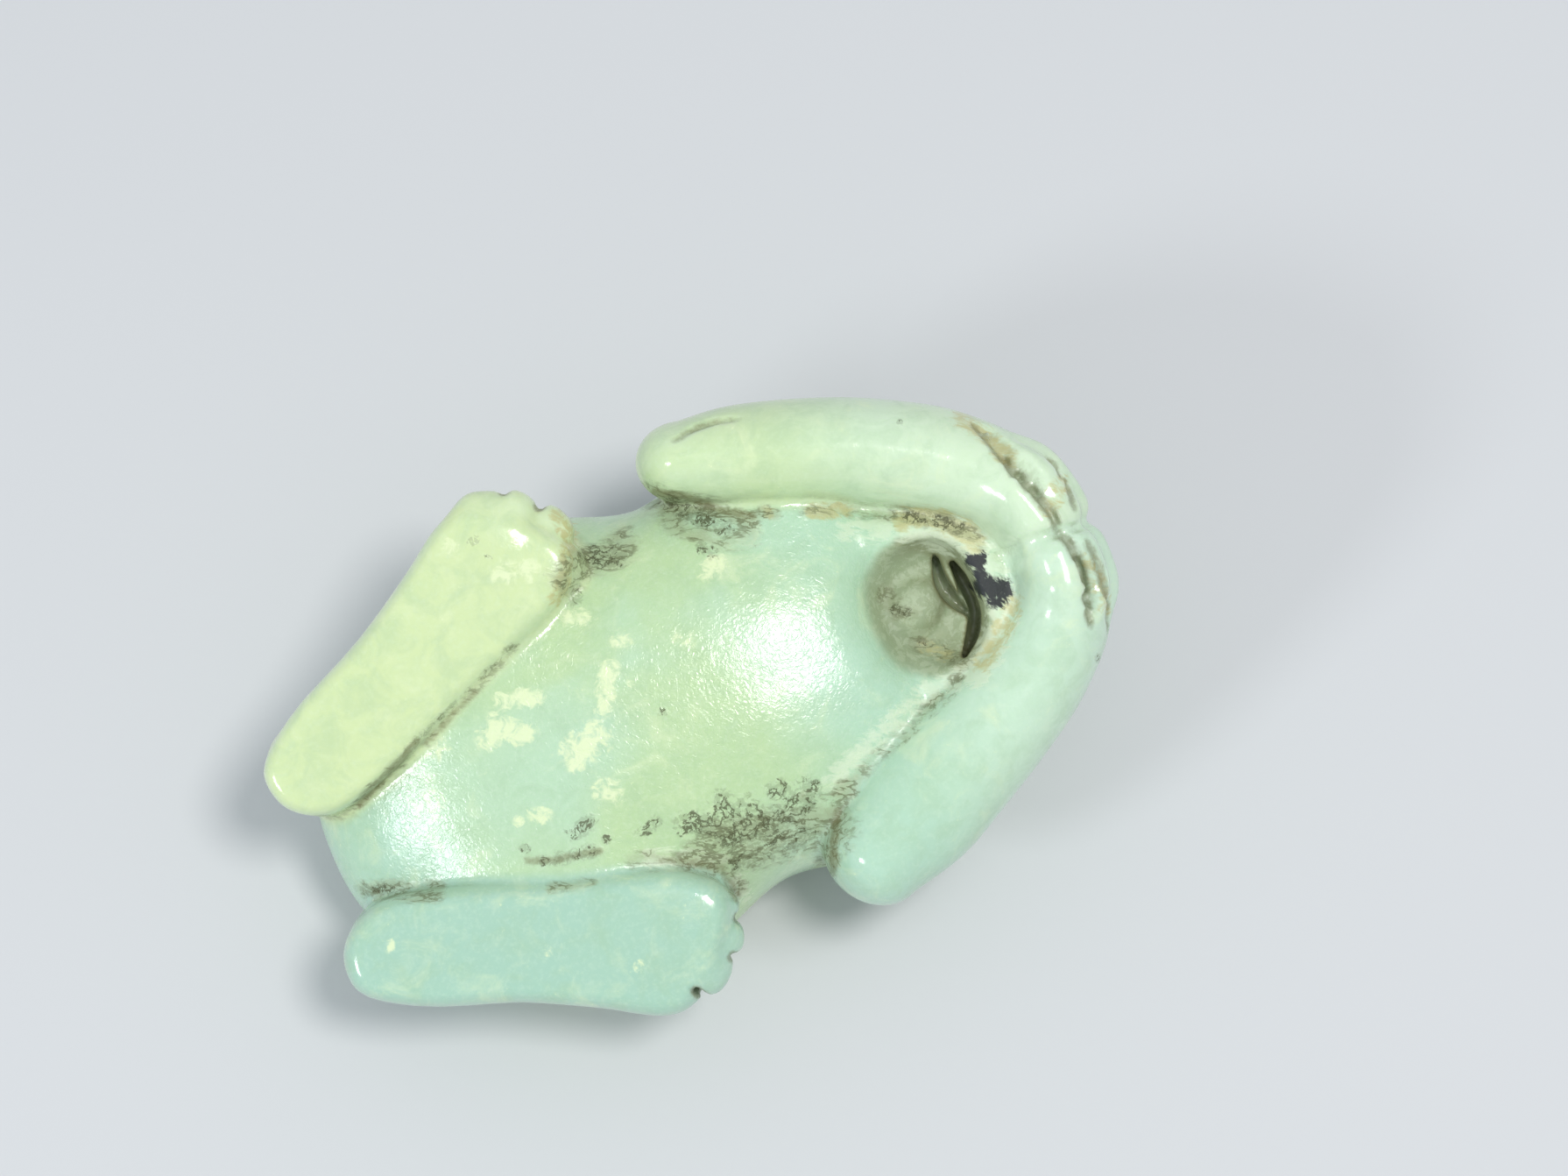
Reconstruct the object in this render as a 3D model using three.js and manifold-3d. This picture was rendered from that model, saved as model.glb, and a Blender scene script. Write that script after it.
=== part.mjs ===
import * as THREE from 'three';
import { mergeVertices } from 'three/addons/utils/BufferGeometryUtils.js';
import Module from 'manifold-3d';

// A crouching animal carved from one pebble of pale green jade, lying on its back.
// It is drawn soles up: +X runs from the rump to the paws, +Y to its left flank, and +Z from the
// crown of the head to the soles. Then it is leaned into its rest.
// All lengths are in millimetres and all angles in degrees.

const wasm = await Module();
wasm.setup();

// Rest
const REST_LEAN = 20;
const REST_HINGE = -22.9;
const REST_SPOT_DEPTH = 0.8;

// Height from the crown of the head to the flat soles
const SOLE_HEIGHT = 22;

// Torso
const TORSO_LENGTH = 44;
const TORSO_WIDTH = 25.8;
const TORSO_DEPTH = 17.6;
const TORSO_FULLNESS = 2.5;
const TORSO_X = -3.8;
const TORSO_Y = 0;
const BELLY_DROP = 0.8;

// Haunches, one on each side of the torso
const HAUNCH_LENGTH = 21;
const HAUNCH_WIDTH = 13;
const HAUNCH_DEPTH = 14.6;
const HAUNCH_X = -11.5;
const HAUNCH_SPREAD = 8;
const HAUNCH_DROP = 2;

// Hind feet: sizes in the foot's own frame, from the middle of the heel towards the toes
const HEEL_REACH = 2.7;
const FOOT_LENGTH = 21.7;
const FOOT_OUTER_WAIST = 3.25;
const FOOT_INNER_WAIST = 4.2;
const FOOT_OUTER_BALL = 4.4;
const FOOT_INNER_BALL = 4.6;
const FOOT_OUTER_LENGTH = 18.8;
const SOLE_THICKNESS = 6.5;
const SOLE_EDGE_INSET = 1.1;
const SOLE_EDGE_DEPTH = 1.9;
const LEFT_HEEL = [-24.3, 5.4];
const LEFT_FOOT_TURN = 24.8;
const RIGHT_HEEL = [-24.1, -7.0];
const RIGHT_FOOT_TURN = -20.8;

// Shanks, under the soles
const SHANK_LENGTH = 12;
const SHANK_WIDTH = 6.4;
const SHANK_DEPTH = 8.5;
const SHANK_DROP = 2;

// Toes, fanned round the ball of each hind foot
const TOE_COUNT = 4;
const TOE_FAN_START = -27;
const TOE_FAN_STEP = 33;
const TOE_FAN_CENTRE = 16;
const TOE_FAN_SIDE = -0.6;
const TOE_FAN_REACH = 4.7;
const TOE_FAN_CLOSING = 0.4;
const TOE_LENGTH = 4;
const TOE_WIDTH = 3.1;
const TOE_DEPTH = 4;
const TOE_DROP = 2.6;

// Forelegs: plan of each middle line from the elbow to the tip of the paw, with half the width
const LEFT_FORELEG = [
  [4.9, 14.4, 2.6],
  [7.6, 13.6, 3.2],
  [10.4, 12.7, 3.4],
  [13.8, 11.5, 3.4],
  [17.2, 9.8, 3.5],
  [20.2, 7.9, 3.5],
  [22.6, 5.6, 3.3],
  [23.8, 3.2, 3.2],
  [24.1, 1.9, 3.1],
];
const RIGHT_FORELEG = [
  [6.5, -13.4, 3.5],
  [10.0, -11.8, 4.3],
  [13.6, -10.1, 4.2],
  [17.2, -8.4, 3.9],
  [20.4, -6.5, 3.6],
  [23.1, -4.1, 3.3],
  [24.1, -1.6, 3.1],
  [24.2, -0.4, 3.0],
];
const FORELEG_DEPTH = 9;
const FORELEG_DROP = 0.6;
const ELBOW_REACH = 2.9;
const PAW_REACH = 2;

// Digits of the forepaws, stacked from the sole side towards the muzzle
const DIGIT_COUNT = 4;
const DIGIT_FAN_START = 2;
const DIGIT_FAN_STEP = 37;
const DIGIT_RADIUS = 1.55;
const DIGIT_PROUD = 0.6;
const DIGIT_START = 0.7;

// Shoulders
const SHOULDER_LENGTH = 15;
const SHOULDER_WIDTH = 10.4;
const SHOULDER_DEPTH = 15;
const SHOULDER_X = 9.5;
const SHOULDER_SPREAD = 9.3;
const SHOULDER_DROP = 4;

// Head, resting on the paws
const HEAD_LENGTH = 23;
const HEAD_WIDTH = 20.5;
const HEAD_DEPTH = 16.4;
const HEAD_FULLNESS = 2.2;
const HEAD_X = 12.8;
const MUZZLE_LENGTH = 10.5;
const MUZZLE_WIDTH = 11;
const MUZZLE_DEPTH = 9.5;
const MUZZLE_X = 20.8;
const MUZZLE_HEIGHT = 9.8;
const NOSE_LENGTH = 2.8;
const NOSE_WIDTH = 5;
const NOSE_DEPTH = 3.4;
const NOSE_HEIGHT = 7.4;
const EAR_LENGTH = 6;
const EAR_WIDTH = 3.6;
const EAR_DEPTH = 4.2;
const EAR_X = 5.6;
const EAR_SPREAD = 8.4;
const EAR_HEIGHT = 5.4;
const EAR_TURN = 24;
const EYE_DIAMETER = 2.8;
const EYE_X = 20.2;
const EYE_SPREAD = 6.7;
const EYE_HEIGHT = 5.3;
const MOUTH_WIDTH = 0.6;
const MOUTH_DEPTH = 0.7;
const MOUTH_HEIGHT = 11;
const MOUTH_SWEEP = 62;

// Tail, laid flat against the rump
const TAIL_ROOT = [-19.6, 5.6];
const TAIL_BEND = [-22.8, 7.4];
const TAIL_TIP = [-24.6, 11.4];
const TAIL_WIDTH = 4.2;
const TAIL_THICKNESS = 2.8;

// Throat: the stone left standing between the chest and the arch of the forelegs
const THROAT_LENGTH = 13.4;
const THROAT_WIDTH = 15.4;
const THROAT_DEPTH = 11;
const THROAT_FULLNESS = 2.4;
const THROAT_X = 17.2;
const THROAT_DROP = 2.6;

// Drilled pocket in the throat, with two curved slits in its floor
const POCKET_X = 15.7;
const POCKET_Y = -0.1;
const POCKET_LENGTH = 7.2;
const POCKET_WIDTH = 9.0;
const POCKET_DEPTH = 6.2;
const POCKET_FULLNESS = 2.7;
const SLIT_DEPTH = 9.4;
const SLIT_RISE = 7.4;
const SLIT_WIDTH = 0.9;
const SLIT_REACH = 0.3;
const SLITS = [
  [[17.4, 2.4], [17.2, 0.7], [17.5, -0.5], [18.0, -1.6]],
  [[18.3, 1.7], [18.5, 0.3], [18.5, -1.4], [17.9, -2.7], [16.5, -4.2]],
];

// Facets
const BODY_SIDES = 30;
const PART_SIDES = 22;
const LIMB_SIDES = 14;
const LIMB_RINGS = 12;
const SMALL_SIDES = 10;
const SMALL_RINGS = 6;
const CAP_RINGS = 4;
const EDGE_RINGS = 3;
const MERGE_DISTANCE = 1e-4;

// Turns a closed geometry into a solid that can be joined and cut.
function solidOf(geometry) {
  const bare = geometry.clone();
  bare.deleteAttribute('normal');
  bare.deleteAttribute('uv');
  const merged = mergeVertices(bare, MERGE_DISTANCE);
  const corners = merged.index.array;
  const kept = [];
  for (let i = 0; i < corners.length; i += 3) {
    const [a, b, c] = corners.slice(i, i + 3);
    if (a !== b && b !== c && c !== a) {
      kept.push(a, b, c);
    }
  }
  return new wasm.Manifold(new wasm.Mesh({
    numProp: 3,
    vertProperties: merged.attributes.position.array,
    triVerts: Uint32Array.from(kept),
  }));
}

// A rounded mass. Fullness 2 is an ellipsoid, and a higher one swells towards its box.
function mass({ at, size, turn = 0, fullness = 2, sides = BODY_SIDES }) {
  const geometry = new THREE.SphereGeometry(1, sides, Math.round(sides * 0.6));
  const position = geometry.attributes.position;
  const way = new THREE.Vector3();
  for (let i = 0; i < position.count; i += 1) {
    way.fromBufferAttribute(position, i);
    const sum = Math.abs(way.x) ** fullness + Math.abs(way.y) ** fullness + Math.abs(way.z) ** fullness;
    way.multiplyScalar(sum ** (-1 / fullness));
    position.setXYZ(i, way.x, way.y, way.z);
  }
  geometry.scale(size[0] / 2, size[1] / 2, size[2] / 2);
  geometry.rotateZ(THREE.MathUtils.degToRad(turn));
  geometry.translate(...at);
  return solidOf(geometry);
}

// A limb with round ends along a smooth curve. Each station is [x, y, z, half width, half depth].
function limb({ stations, startReach, endReach, sides = LIMB_SIDES, rings = LIMB_RINGS }) {
  const middle = new THREE.CatmullRomCurve3(stations.map(([x, y, z]) => new THREE.Vector3(x, y, z)));
  const girth = new THREE.CatmullRomCurve3(stations.map(([, , , w, d]) => new THREE.Vector3(w, d, 0)));
  const slices = [];
  for (let i = CAP_RINGS; i > 0; i -= 1) {
    const angle = (Math.PI / 2) * (i / CAP_RINGS);
    slices.push({ along: 0, reach: -startReach * Math.sin(angle), share: Math.cos(angle) });
  }
  for (let i = 0; i <= rings; i += 1) {
    slices.push({ along: i / rings, reach: 0, share: 1 });
  }
  for (let i = 1; i <= CAP_RINGS; i += 1) {
    const angle = (Math.PI / 2) * (i / CAP_RINGS);
    slices.push({ along: 1, reach: endReach * Math.sin(angle), share: Math.cos(angle) });
  }
  slices[0].share = 0;
  slices[slices.length - 1].share = 0;
  const profile = slices.map(({ share }, index) => new THREE.Vector2(share, index));
  const geometry = new THREE.LatheGeometry(profile, sides);
  const position = geometry.attributes.position;
  const up = new THREE.Vector3(0, 0, 1);
  for (let i = 0; i < position.count; i += 1) {
    const slice = slices[Math.round(position.getY(i))];
    const forward = middle.getTangent(slice.along);
    const side = new THREE.Vector3().crossVectors(forward, up).normalize();
    const over = new THREE.Vector3().crossVectors(side, forward);
    const half = girth.getPoint(slice.along);
    const point = middle.getPoint(slice.along);
    point.addScaledVector(forward, slice.reach);
    point.addScaledVector(side, position.getX(i) * half.x);
    point.addScaledVector(over, position.getZ(i) * half.y);
    position.setXYZ(i, point.x, point.y, point.z);
  }
  return solidOf(geometry);
}

// A hind foot: the sole slab, the shank under it and the toes. Side is 1 for the left foot and -1
// for the right one.
function hindFoot({ heel, turn, side }) {
  const outline = [
    [-HEEL_REACH, 0],
    [-0.75 * HEEL_REACH, -0.45 * FOOT_INNER_WAIST],
    [-0.1 * HEEL_REACH, -0.8 * FOOT_INNER_WAIST],
    [0.2 * FOOT_LENGTH, -0.98 * FOOT_INNER_WAIST],
    [0.5 * FOOT_LENGTH, -FOOT_INNER_WAIST],
    [0.85 * FOOT_LENGTH, -FOOT_INNER_BALL],
    [0.98 * FOOT_LENGTH, -0.75 * FOOT_INNER_BALL],
    [FOOT_LENGTH, -0.3 * FOOT_INNER_BALL],
    [0.5 * (FOOT_LENGTH + FOOT_OUTER_LENGTH), 0.5 * FOOT_OUTER_BALL],
    [FOOT_OUTER_LENGTH, 0.92 * FOOT_OUTER_BALL],
    [0.9 * FOOT_OUTER_LENGTH, FOOT_OUTER_BALL],
    [0.62 * FOOT_LENGTH, 0.5 * (FOOT_OUTER_BALL + FOOT_OUTER_WAIST)],
    [0.38 * FOOT_LENGTH, FOOT_OUTER_WAIST],
    [0.08 * FOOT_LENGTH, FOOT_OUTER_WAIST],
    [-0.7 * HEEL_REACH, 0.68 * FOOT_OUTER_WAIST],
  ].map(([along, out]) => new THREE.Vector3(along, out * side, 0));
  const loop = new THREE.CatmullRomCurve3(outline, true);
  const rim = loop.getPoints(outline.length * 2).slice(0, -1);
  const shape = new THREE.Shape(rim.map(({ x, y }) => new THREE.Vector2(x, y)));
  const slab = new THREE.ExtrudeGeometry(shape, {
    depth: SOLE_THICKNESS - 2 * SOLE_EDGE_DEPTH,
    bevelSize: SOLE_EDGE_INSET,
    bevelOffset: -SOLE_EDGE_INSET,
    bevelThickness: SOLE_EDGE_DEPTH,
    bevelSegments: EDGE_RINGS,
  });
  slab.translate(0, 0, SOLE_HEIGHT - SOLE_THICKNESS + SOLE_EDGE_DEPTH);
  slab.rotateZ(THREE.MathUtils.degToRad(turn));
  slab.translate(heel[0], heel[1], 0);
  const forward = THREE.MathUtils.degToRad(turn);
  const shank = [0, 0.5, 1].map((share) => [
    heel[0] + share * SHANK_LENGTH * Math.cos(forward),
    heel[1] + share * SHANK_LENGTH * Math.sin(forward),
    SOLE_HEIGHT - SHANK_DROP - SHANK_DEPTH / 2,
    SHANK_WIDTH / 2,
    SHANK_DEPTH / 2,
  ]);
  const pieces = [
    solidOf(slab),
    limb({
      stations: shank,
      startReach: 0.9 * HEEL_REACH,
      endReach: SHANK_WIDTH / 2,
      rings: SMALL_RINGS,
    }),
  ];
  for (let i = 0; i < TOE_COUNT; i += 1) {
    const fan = THREE.MathUtils.degToRad(TOE_FAN_START + i * TOE_FAN_STEP);
    const reach = TOE_FAN_REACH - i * TOE_FAN_CLOSING;
    const along = TOE_FAN_CENTRE + reach * Math.cos(fan);
    const out = (TOE_FAN_SIDE + reach * Math.sin(fan)) * side;
    pieces.push(mass({
      at: [
        heel[0] + along * Math.cos(forward) - out * Math.sin(forward),
        heel[1] + along * Math.sin(forward) + out * Math.cos(forward),
        SOLE_HEIGHT - TOE_DROP,
      ],
      size: [TOE_LENGTH, TOE_WIDTH, TOE_DEPTH],
      turn: turn + THREE.MathUtils.radToDeg(fan) * side,
      sides: SMALL_SIDES,
    }));
  }
  return pieces;
}

// A foreleg from the elbow to the paw, with its digits. Side is 1 on the left and -1 on the right.
function foreleg({ plan, side }) {
  const halfDepth = FORELEG_DEPTH / 2;
  const height = SOLE_HEIGHT - FORELEG_DROP - halfDepth;
  const stations = plan.map(([x, y, halfWidth]) => [x, y, height, halfWidth, halfDepth]);
  const pieces = [limb({ stations, startReach: ELBOW_REACH, endReach: PAW_REACH })];
  const middle = new THREE.CatmullRomCurve3(plan.map(([x, y]) => new THREE.Vector3(x, y, height)));
  const girth = new THREE.CatmullRomCurve3(plan.map(([, , w]) => new THREE.Vector3(w, 0, 0)));
  for (let i = 0; i < DIGIT_COUNT; i += 1) {
    const fan = THREE.MathUtils.degToRad(DIGIT_FAN_START + i * DIGIT_FAN_STEP);
    const digit = [];
    for (let step = 0; step <= 3; step += 1) {
      const along = THREE.MathUtils.lerp(DIGIT_START, 1, step / 3);
      const sunk = step === 0 ? 1.5 * DIGIT_RADIUS : DIGIT_RADIUS - DIGIT_PROUD;
      const point = middle.getPoint(along);
      const forward = middle.getTangent(along);
      const outward = new THREE.Vector3(forward.y, -forward.x, 0).multiplyScalar(-side);
      const across = (girth.getPoint(along).x - sunk) * Math.sin(fan);
      point.addScaledVector(outward, across);
      point.z += (halfDepth - sunk) * Math.cos(fan);
      digit.push([point.x, point.y, point.z, DIGIT_RADIUS, DIGIT_RADIUS]);
    }
    pieces.push(limb({
      stations: digit,
      startReach: DIGIT_RADIUS,
      endReach: DIGIT_RADIUS,
      sides: SMALL_SIDES,
      rings: SMALL_RINGS,
    }));
  }
  return pieces;
}

// The head with its muzzle, nose, ears and eyes.
function head() {
  const pieces = [
    mass({
      at: [HEAD_X, 0, HEAD_DEPTH / 2],
      size: [HEAD_LENGTH, HEAD_WIDTH, HEAD_DEPTH],
      fullness: HEAD_FULLNESS,
      sides: PART_SIDES,
    }),
    mass({
      at: [MUZZLE_X, 0, MUZZLE_HEIGHT],
      size: [MUZZLE_LENGTH, MUZZLE_WIDTH, MUZZLE_DEPTH],
      sides: PART_SIDES,
    }),
    mass({
      at: [MUZZLE_X + 0.5 * MUZZLE_LENGTH - 0.3 * NOSE_LENGTH, 0, NOSE_HEIGHT],
      size: [NOSE_LENGTH, NOSE_WIDTH, NOSE_DEPTH],
      sides: SMALL_SIDES,
    }),
  ];
  for (const side of [1, -1]) {
    pieces.push(mass({
      at: [EAR_X, EAR_SPREAD * side, EAR_HEIGHT],
      size: [EAR_LENGTH, EAR_WIDTH, EAR_DEPTH],
      turn: EAR_TURN * side,
      sides: LIMB_SIDES,
    }));
    pieces.push(mass({
      at: [EYE_X, EYE_SPREAD * side, EYE_HEIGHT],
      size: [EYE_DIAMETER, EYE_DIAMETER, EYE_DIAMETER],
      sides: SMALL_SIDES,
    }));
  }
  return pieces;
}

// The shallow cut of the mouth, swept round the front of the muzzle.
function mouth() {
  const stations = [];
  const level = (MOUTH_HEIGHT - MUZZLE_HEIGHT) / (MUZZLE_DEPTH / 2);
  const girth = Math.sqrt(1 - level * level);
  for (let step = -2; step <= 2; step += 1) {
    const angle = THREE.MathUtils.degToRad((MOUTH_SWEEP * step) / 2);
    const x = MUZZLE_X + 0.5 * MUZZLE_LENGTH * girth * Math.cos(angle);
    const y = 0.5 * MUZZLE_WIDTH * girth * Math.sin(angle);
    stations.push([x, y, MOUTH_HEIGHT, MOUTH_DEPTH, MOUTH_WIDTH / 2]);
  }
  const reach = MOUTH_DEPTH;
  return limb({
    stations,
    startReach: reach,
    endReach: reach,
    sides: SMALL_SIDES,
    rings: SMALL_RINGS,
  });
}

// The masses of the trunk: torso, throat, tail, haunches and shoulders.
function trunk() {
  const pieces = [
    mass({
      at: [TORSO_X, TORSO_Y, SOLE_HEIGHT - BELLY_DROP - TORSO_DEPTH / 2],
      size: [TORSO_LENGTH, TORSO_WIDTH, TORSO_DEPTH],
      fullness: TORSO_FULLNESS,
    }),
    mass({
      at: [THROAT_X, 0, SOLE_HEIGHT - THROAT_DROP - THROAT_DEPTH / 2],
      size: [THROAT_LENGTH, THROAT_WIDTH, THROAT_DEPTH],
      fullness: THROAT_FULLNESS,
      sides: PART_SIDES,
    }),
    limb({
      stations: [TAIL_ROOT, TAIL_BEND, TAIL_TIP].map(([x, z]) => (
        [x, 0, z, TAIL_WIDTH / 2, TAIL_THICKNESS / 2]
      )),
      startReach: TAIL_THICKNESS / 2,
      endReach: TAIL_THICKNESS / 2,
      sides: SMALL_SIDES,
      rings: SMALL_RINGS,
    }),
  ];
  for (const side of [1, -1]) {
    pieces.push(mass({
      at: [HAUNCH_X, HAUNCH_SPREAD * side, SOLE_HEIGHT - HAUNCH_DROP - HAUNCH_DEPTH / 2],
      size: [HAUNCH_LENGTH, HAUNCH_WIDTH, HAUNCH_DEPTH],
      turn: 0.7 * LEFT_FOOT_TURN * side,
      sides: PART_SIDES,
    }));
    pieces.push(mass({
      at: [SHOULDER_X, SHOULDER_SPREAD * side, SOLE_HEIGHT - SHOULDER_DROP - SHOULDER_DEPTH / 2],
      size: [SHOULDER_LENGTH, SHOULDER_WIDTH, SHOULDER_DEPTH],
      sides: PART_SIDES,
    }));
  }
  return pieces;
}

// What the drill took away behind the paws: a round pocket and two slits in its floor.
function pocket() {
  const cuts = [mass({
    at: [POCKET_X, POCKET_Y, SOLE_HEIGHT],
    size: [POCKET_LENGTH, POCKET_WIDTH, 2 * POCKET_DEPTH],
    fullness: POCKET_FULLNESS,
    sides: PART_SIDES,
  })];
  const half = SLIT_RISE / 2;
  for (const slit of SLITS) {
    const last = slit.length - 1;
    const stations = slit.map(([x, y], index) => {
      const narrowing = index === 0 || index === last ? 0.5 : 1;
      return [x, y, SOLE_HEIGHT - SLIT_DEPTH + half, 0.5 * SLIT_WIDTH * narrowing, half];
    });
    cuts.push(limb({
      stations,
      startReach: SLIT_REACH,
      endReach: SLIT_REACH,
      sides: SMALL_SIDES,
      rings: SMALL_RINGS,
    }));
  }
  return cuts;
}

// Joins the masses, cuts the hollows, leans the carving into its rest and flattens the rest spots.
function carve() {
  const masses = [
    ...trunk(),
    ...head(),
    ...hindFoot({ heel: LEFT_HEEL, turn: LEFT_FOOT_TURN, side: 1 }),
    ...hindFoot({ heel: RIGHT_HEEL, turn: RIGHT_FOOT_TURN, side: -1 }),
    ...foreleg({ plan: LEFT_FORELEG, side: 1 }),
    ...foreleg({ plan: RIGHT_FORELEG, side: -1 }),
  ];
  let carving = masses.reduce((whole, piece) => whole.add(piece));
  for (const cut of [mouth(), ...pocket()]) {
    carving = carving.subtract(cut);
  }
  const hinge = THREE.MathUtils.degToRad(REST_HINGE);
  const axis = new THREE.Vector3(Math.cos(hinge), Math.sin(hinge), 0);
  const { vertProperties, triVerts } = carving.getMesh();
  const leaned = new THREE.BufferGeometry();
  leaned.setAttribute('position', new THREE.BufferAttribute(vertProperties, 3));
  leaned.setIndex(new THREE.BufferAttribute(triVerts, 1));
  leaned.applyMatrix4(new THREE.Matrix4().makeRotationAxis(axis, THREE.MathUtils.degToRad(REST_LEAN)));
  leaned.computeBoundingBox();
  leaned.translate(0, 0, -leaned.boundingBox.min.z - REST_SPOT_DEPTH);
  const table = new THREE.BoxGeometry(4 * TORSO_LENGTH, 4 * TORSO_LENGTH, SOLE_HEIGHT);
  table.translate(0, 0, -SOLE_HEIGHT / 2);
  const resting = solidOf(leaned).subtract(solidOf(table)).getMesh();
  const geometry = new THREE.BufferGeometry();
  geometry.setAttribute('position', new THREE.BufferAttribute(resting.vertProperties, 3));
  geometry.setIndex(new THREE.BufferAttribute(resting.triVerts, 1));
  geometry.computeBoundingBox();
  const centre = geometry.boundingBox.getCenter(new THREE.Vector3());
  geometry.translate(-centre.x, -centre.y, 0);
  geometry.computeVertexNormals();
  return geometry;
}

const jade = new THREE.MeshStandardMaterial({ color: 0xcfdcb4, roughness: 0.22, metalness: 0 });
const crouchingAnimal = new THREE.Mesh(carve(), jade);
crouchingAnimal.name = 'crouching_animal';

const carvedFigure = new THREE.Group();
carvedFigure.add(crouchingAnimal);

export default carvedFigure;
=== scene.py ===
# %% [markdown]
# # A crouching animal carved in pale jade
# The real thing is one pebble of green jade, cut and polished by hand, about as long as a thumb.
# It lies on its back, so the picture looks at its belly and soles.
# We load the measured solid first. It is the fixed frame, and everything below is built to fit it.
# %% Load the measured solid
import math

import bpy
import numpy as np
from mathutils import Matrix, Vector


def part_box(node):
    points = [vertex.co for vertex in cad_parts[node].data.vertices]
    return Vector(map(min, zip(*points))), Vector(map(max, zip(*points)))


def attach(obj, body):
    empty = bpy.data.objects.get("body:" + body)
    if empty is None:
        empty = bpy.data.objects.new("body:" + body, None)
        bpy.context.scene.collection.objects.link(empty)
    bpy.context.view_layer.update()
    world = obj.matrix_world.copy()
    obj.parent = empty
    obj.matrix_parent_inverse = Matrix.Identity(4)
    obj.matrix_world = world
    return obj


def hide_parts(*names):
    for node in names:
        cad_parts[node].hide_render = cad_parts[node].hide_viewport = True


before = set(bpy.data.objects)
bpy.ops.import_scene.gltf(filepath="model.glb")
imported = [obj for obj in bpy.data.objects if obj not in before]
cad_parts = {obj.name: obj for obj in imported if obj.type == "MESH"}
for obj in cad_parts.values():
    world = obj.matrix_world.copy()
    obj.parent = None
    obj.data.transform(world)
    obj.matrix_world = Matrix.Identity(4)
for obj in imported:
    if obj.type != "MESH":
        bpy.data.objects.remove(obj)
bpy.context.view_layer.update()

import openvdb
from mathutils import Matrix, Vector

NODE = "crouching_animal"
MM = 0.001
low_corner, high_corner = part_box(NODE)
print("solid box in mm:", [round(v / MM, 1) for v in (high_corner - low_corner)])

# %% [markdown]
# ## How the carving is described
# A carver starts from rounded masses and lets them run into each other, with soft hollows where a
# thigh meets the belly and crisp lines between toes. Joined meshes give only hard seams, so we
# work with distances instead: for every point of a fine grid we note how far it is from each mass.
# Two distances can then be blended over any width, and the surface is where the result is zero.
# The grid is drawn with the soles up, as the carver holds it: X from rump to paws, Y to the left
# flank, Z from the crown of the head to the soles, in millimetres.
# %% The grid
GRID_STEP = 0.24
GRID_LOW = np.array([-29.4, -19.6, -1.6])
GRID_HIGH = np.array([29.4, 19.6, 23.6])
axes = [np.arange(low, high, GRID_STEP, dtype=np.float32) for low, high in zip(GRID_LOW, GRID_HIGH)]
X, Y, Z = np.meshgrid(*axes, indexing="ij", sparse=True)
PLAN_X, PLAN_Y = X[:, :, 0], Y[:, :, 0]
print("grid cells:", " x ".join(str(len(a)) for a in axes))

# %% [markdown]
# ### A rounded mass
# Fullness 2 gives an ellipsoid, and a higher fullness swells it towards its box, as a well-fed
# belly does. Dividing by the slope turns the plain formula into a true distance near the surface.
# %% Rounded masses
def mass(at, size, turn=0.0, fullness=2.0):
    c, s = math.cos(math.radians(turn)), math.sin(math.radians(turn))
    half = [length / 2 for length in size]
    east, north = X - at[0], Y - at[1]
    shares = [
        np.abs(c * east + s * north) / half[0],
        np.abs(c * north - s * east) / half[1],
        np.abs(Z - at[2]) / half[2],
    ]
    whole = sum(share**fullness for share in shares) ** (1 / fullness)
    slope = sum((share ** (fullness - 1) / h) ** 2 for share, h in zip(shares, half)) ** 0.5
    slope = slope * np.maximum(whole, 1e-3) ** (1 - fullness)
    return (whole - 1) / np.maximum(slope, 1 / max(half))


# %% [markdown]
# ### Smooth lines
# Limbs follow curves through a few stations. The curve passes through every station. Its pull
# goes by the root of each gap, so it never loops between two stations that lie close together.
# %% Smooth lines through stations
def smooth_line(stations, steps=6, closed=False):
    points = np.array(stations, float)
    if closed:
        points = np.vstack([points[-1], points, points[:2]])
    else:
        points = np.vstack([2 * points[0] - points[1], points, 2 * points[-1] - points[-2]])
    line = []
    for a, b, c, d in zip(points, points[1:], points[2:], points[3:]):
        steps_between = ((b - a)[:2], (c - b)[:2], (d - c)[:2])
        gaps = [max(np.linalg.norm(step), 1e-6) ** 0.5 for step in steps_between]
        leave = (b - a) / gaps[0] - (c - a) / (gaps[0] + gaps[1]) + (c - b) / gaps[1]
        arrive = (c - b) / gaps[1] - (d - b) / (gaps[1] + gaps[2]) + (d - c) / gaps[2]
        leave, arrive = leave * gaps[1], arrive * gaps[1]
        for t in np.arange(steps) / steps:
            bend = -3 * b + 3 * c - 2 * leave - arrive
            line.append(b + leave * t + bend * t**2 + (2 * b - 2 * c + leave + arrive) * t**3)
    if not closed:
        line.append(points[-2])
    return np.array(line)


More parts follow.
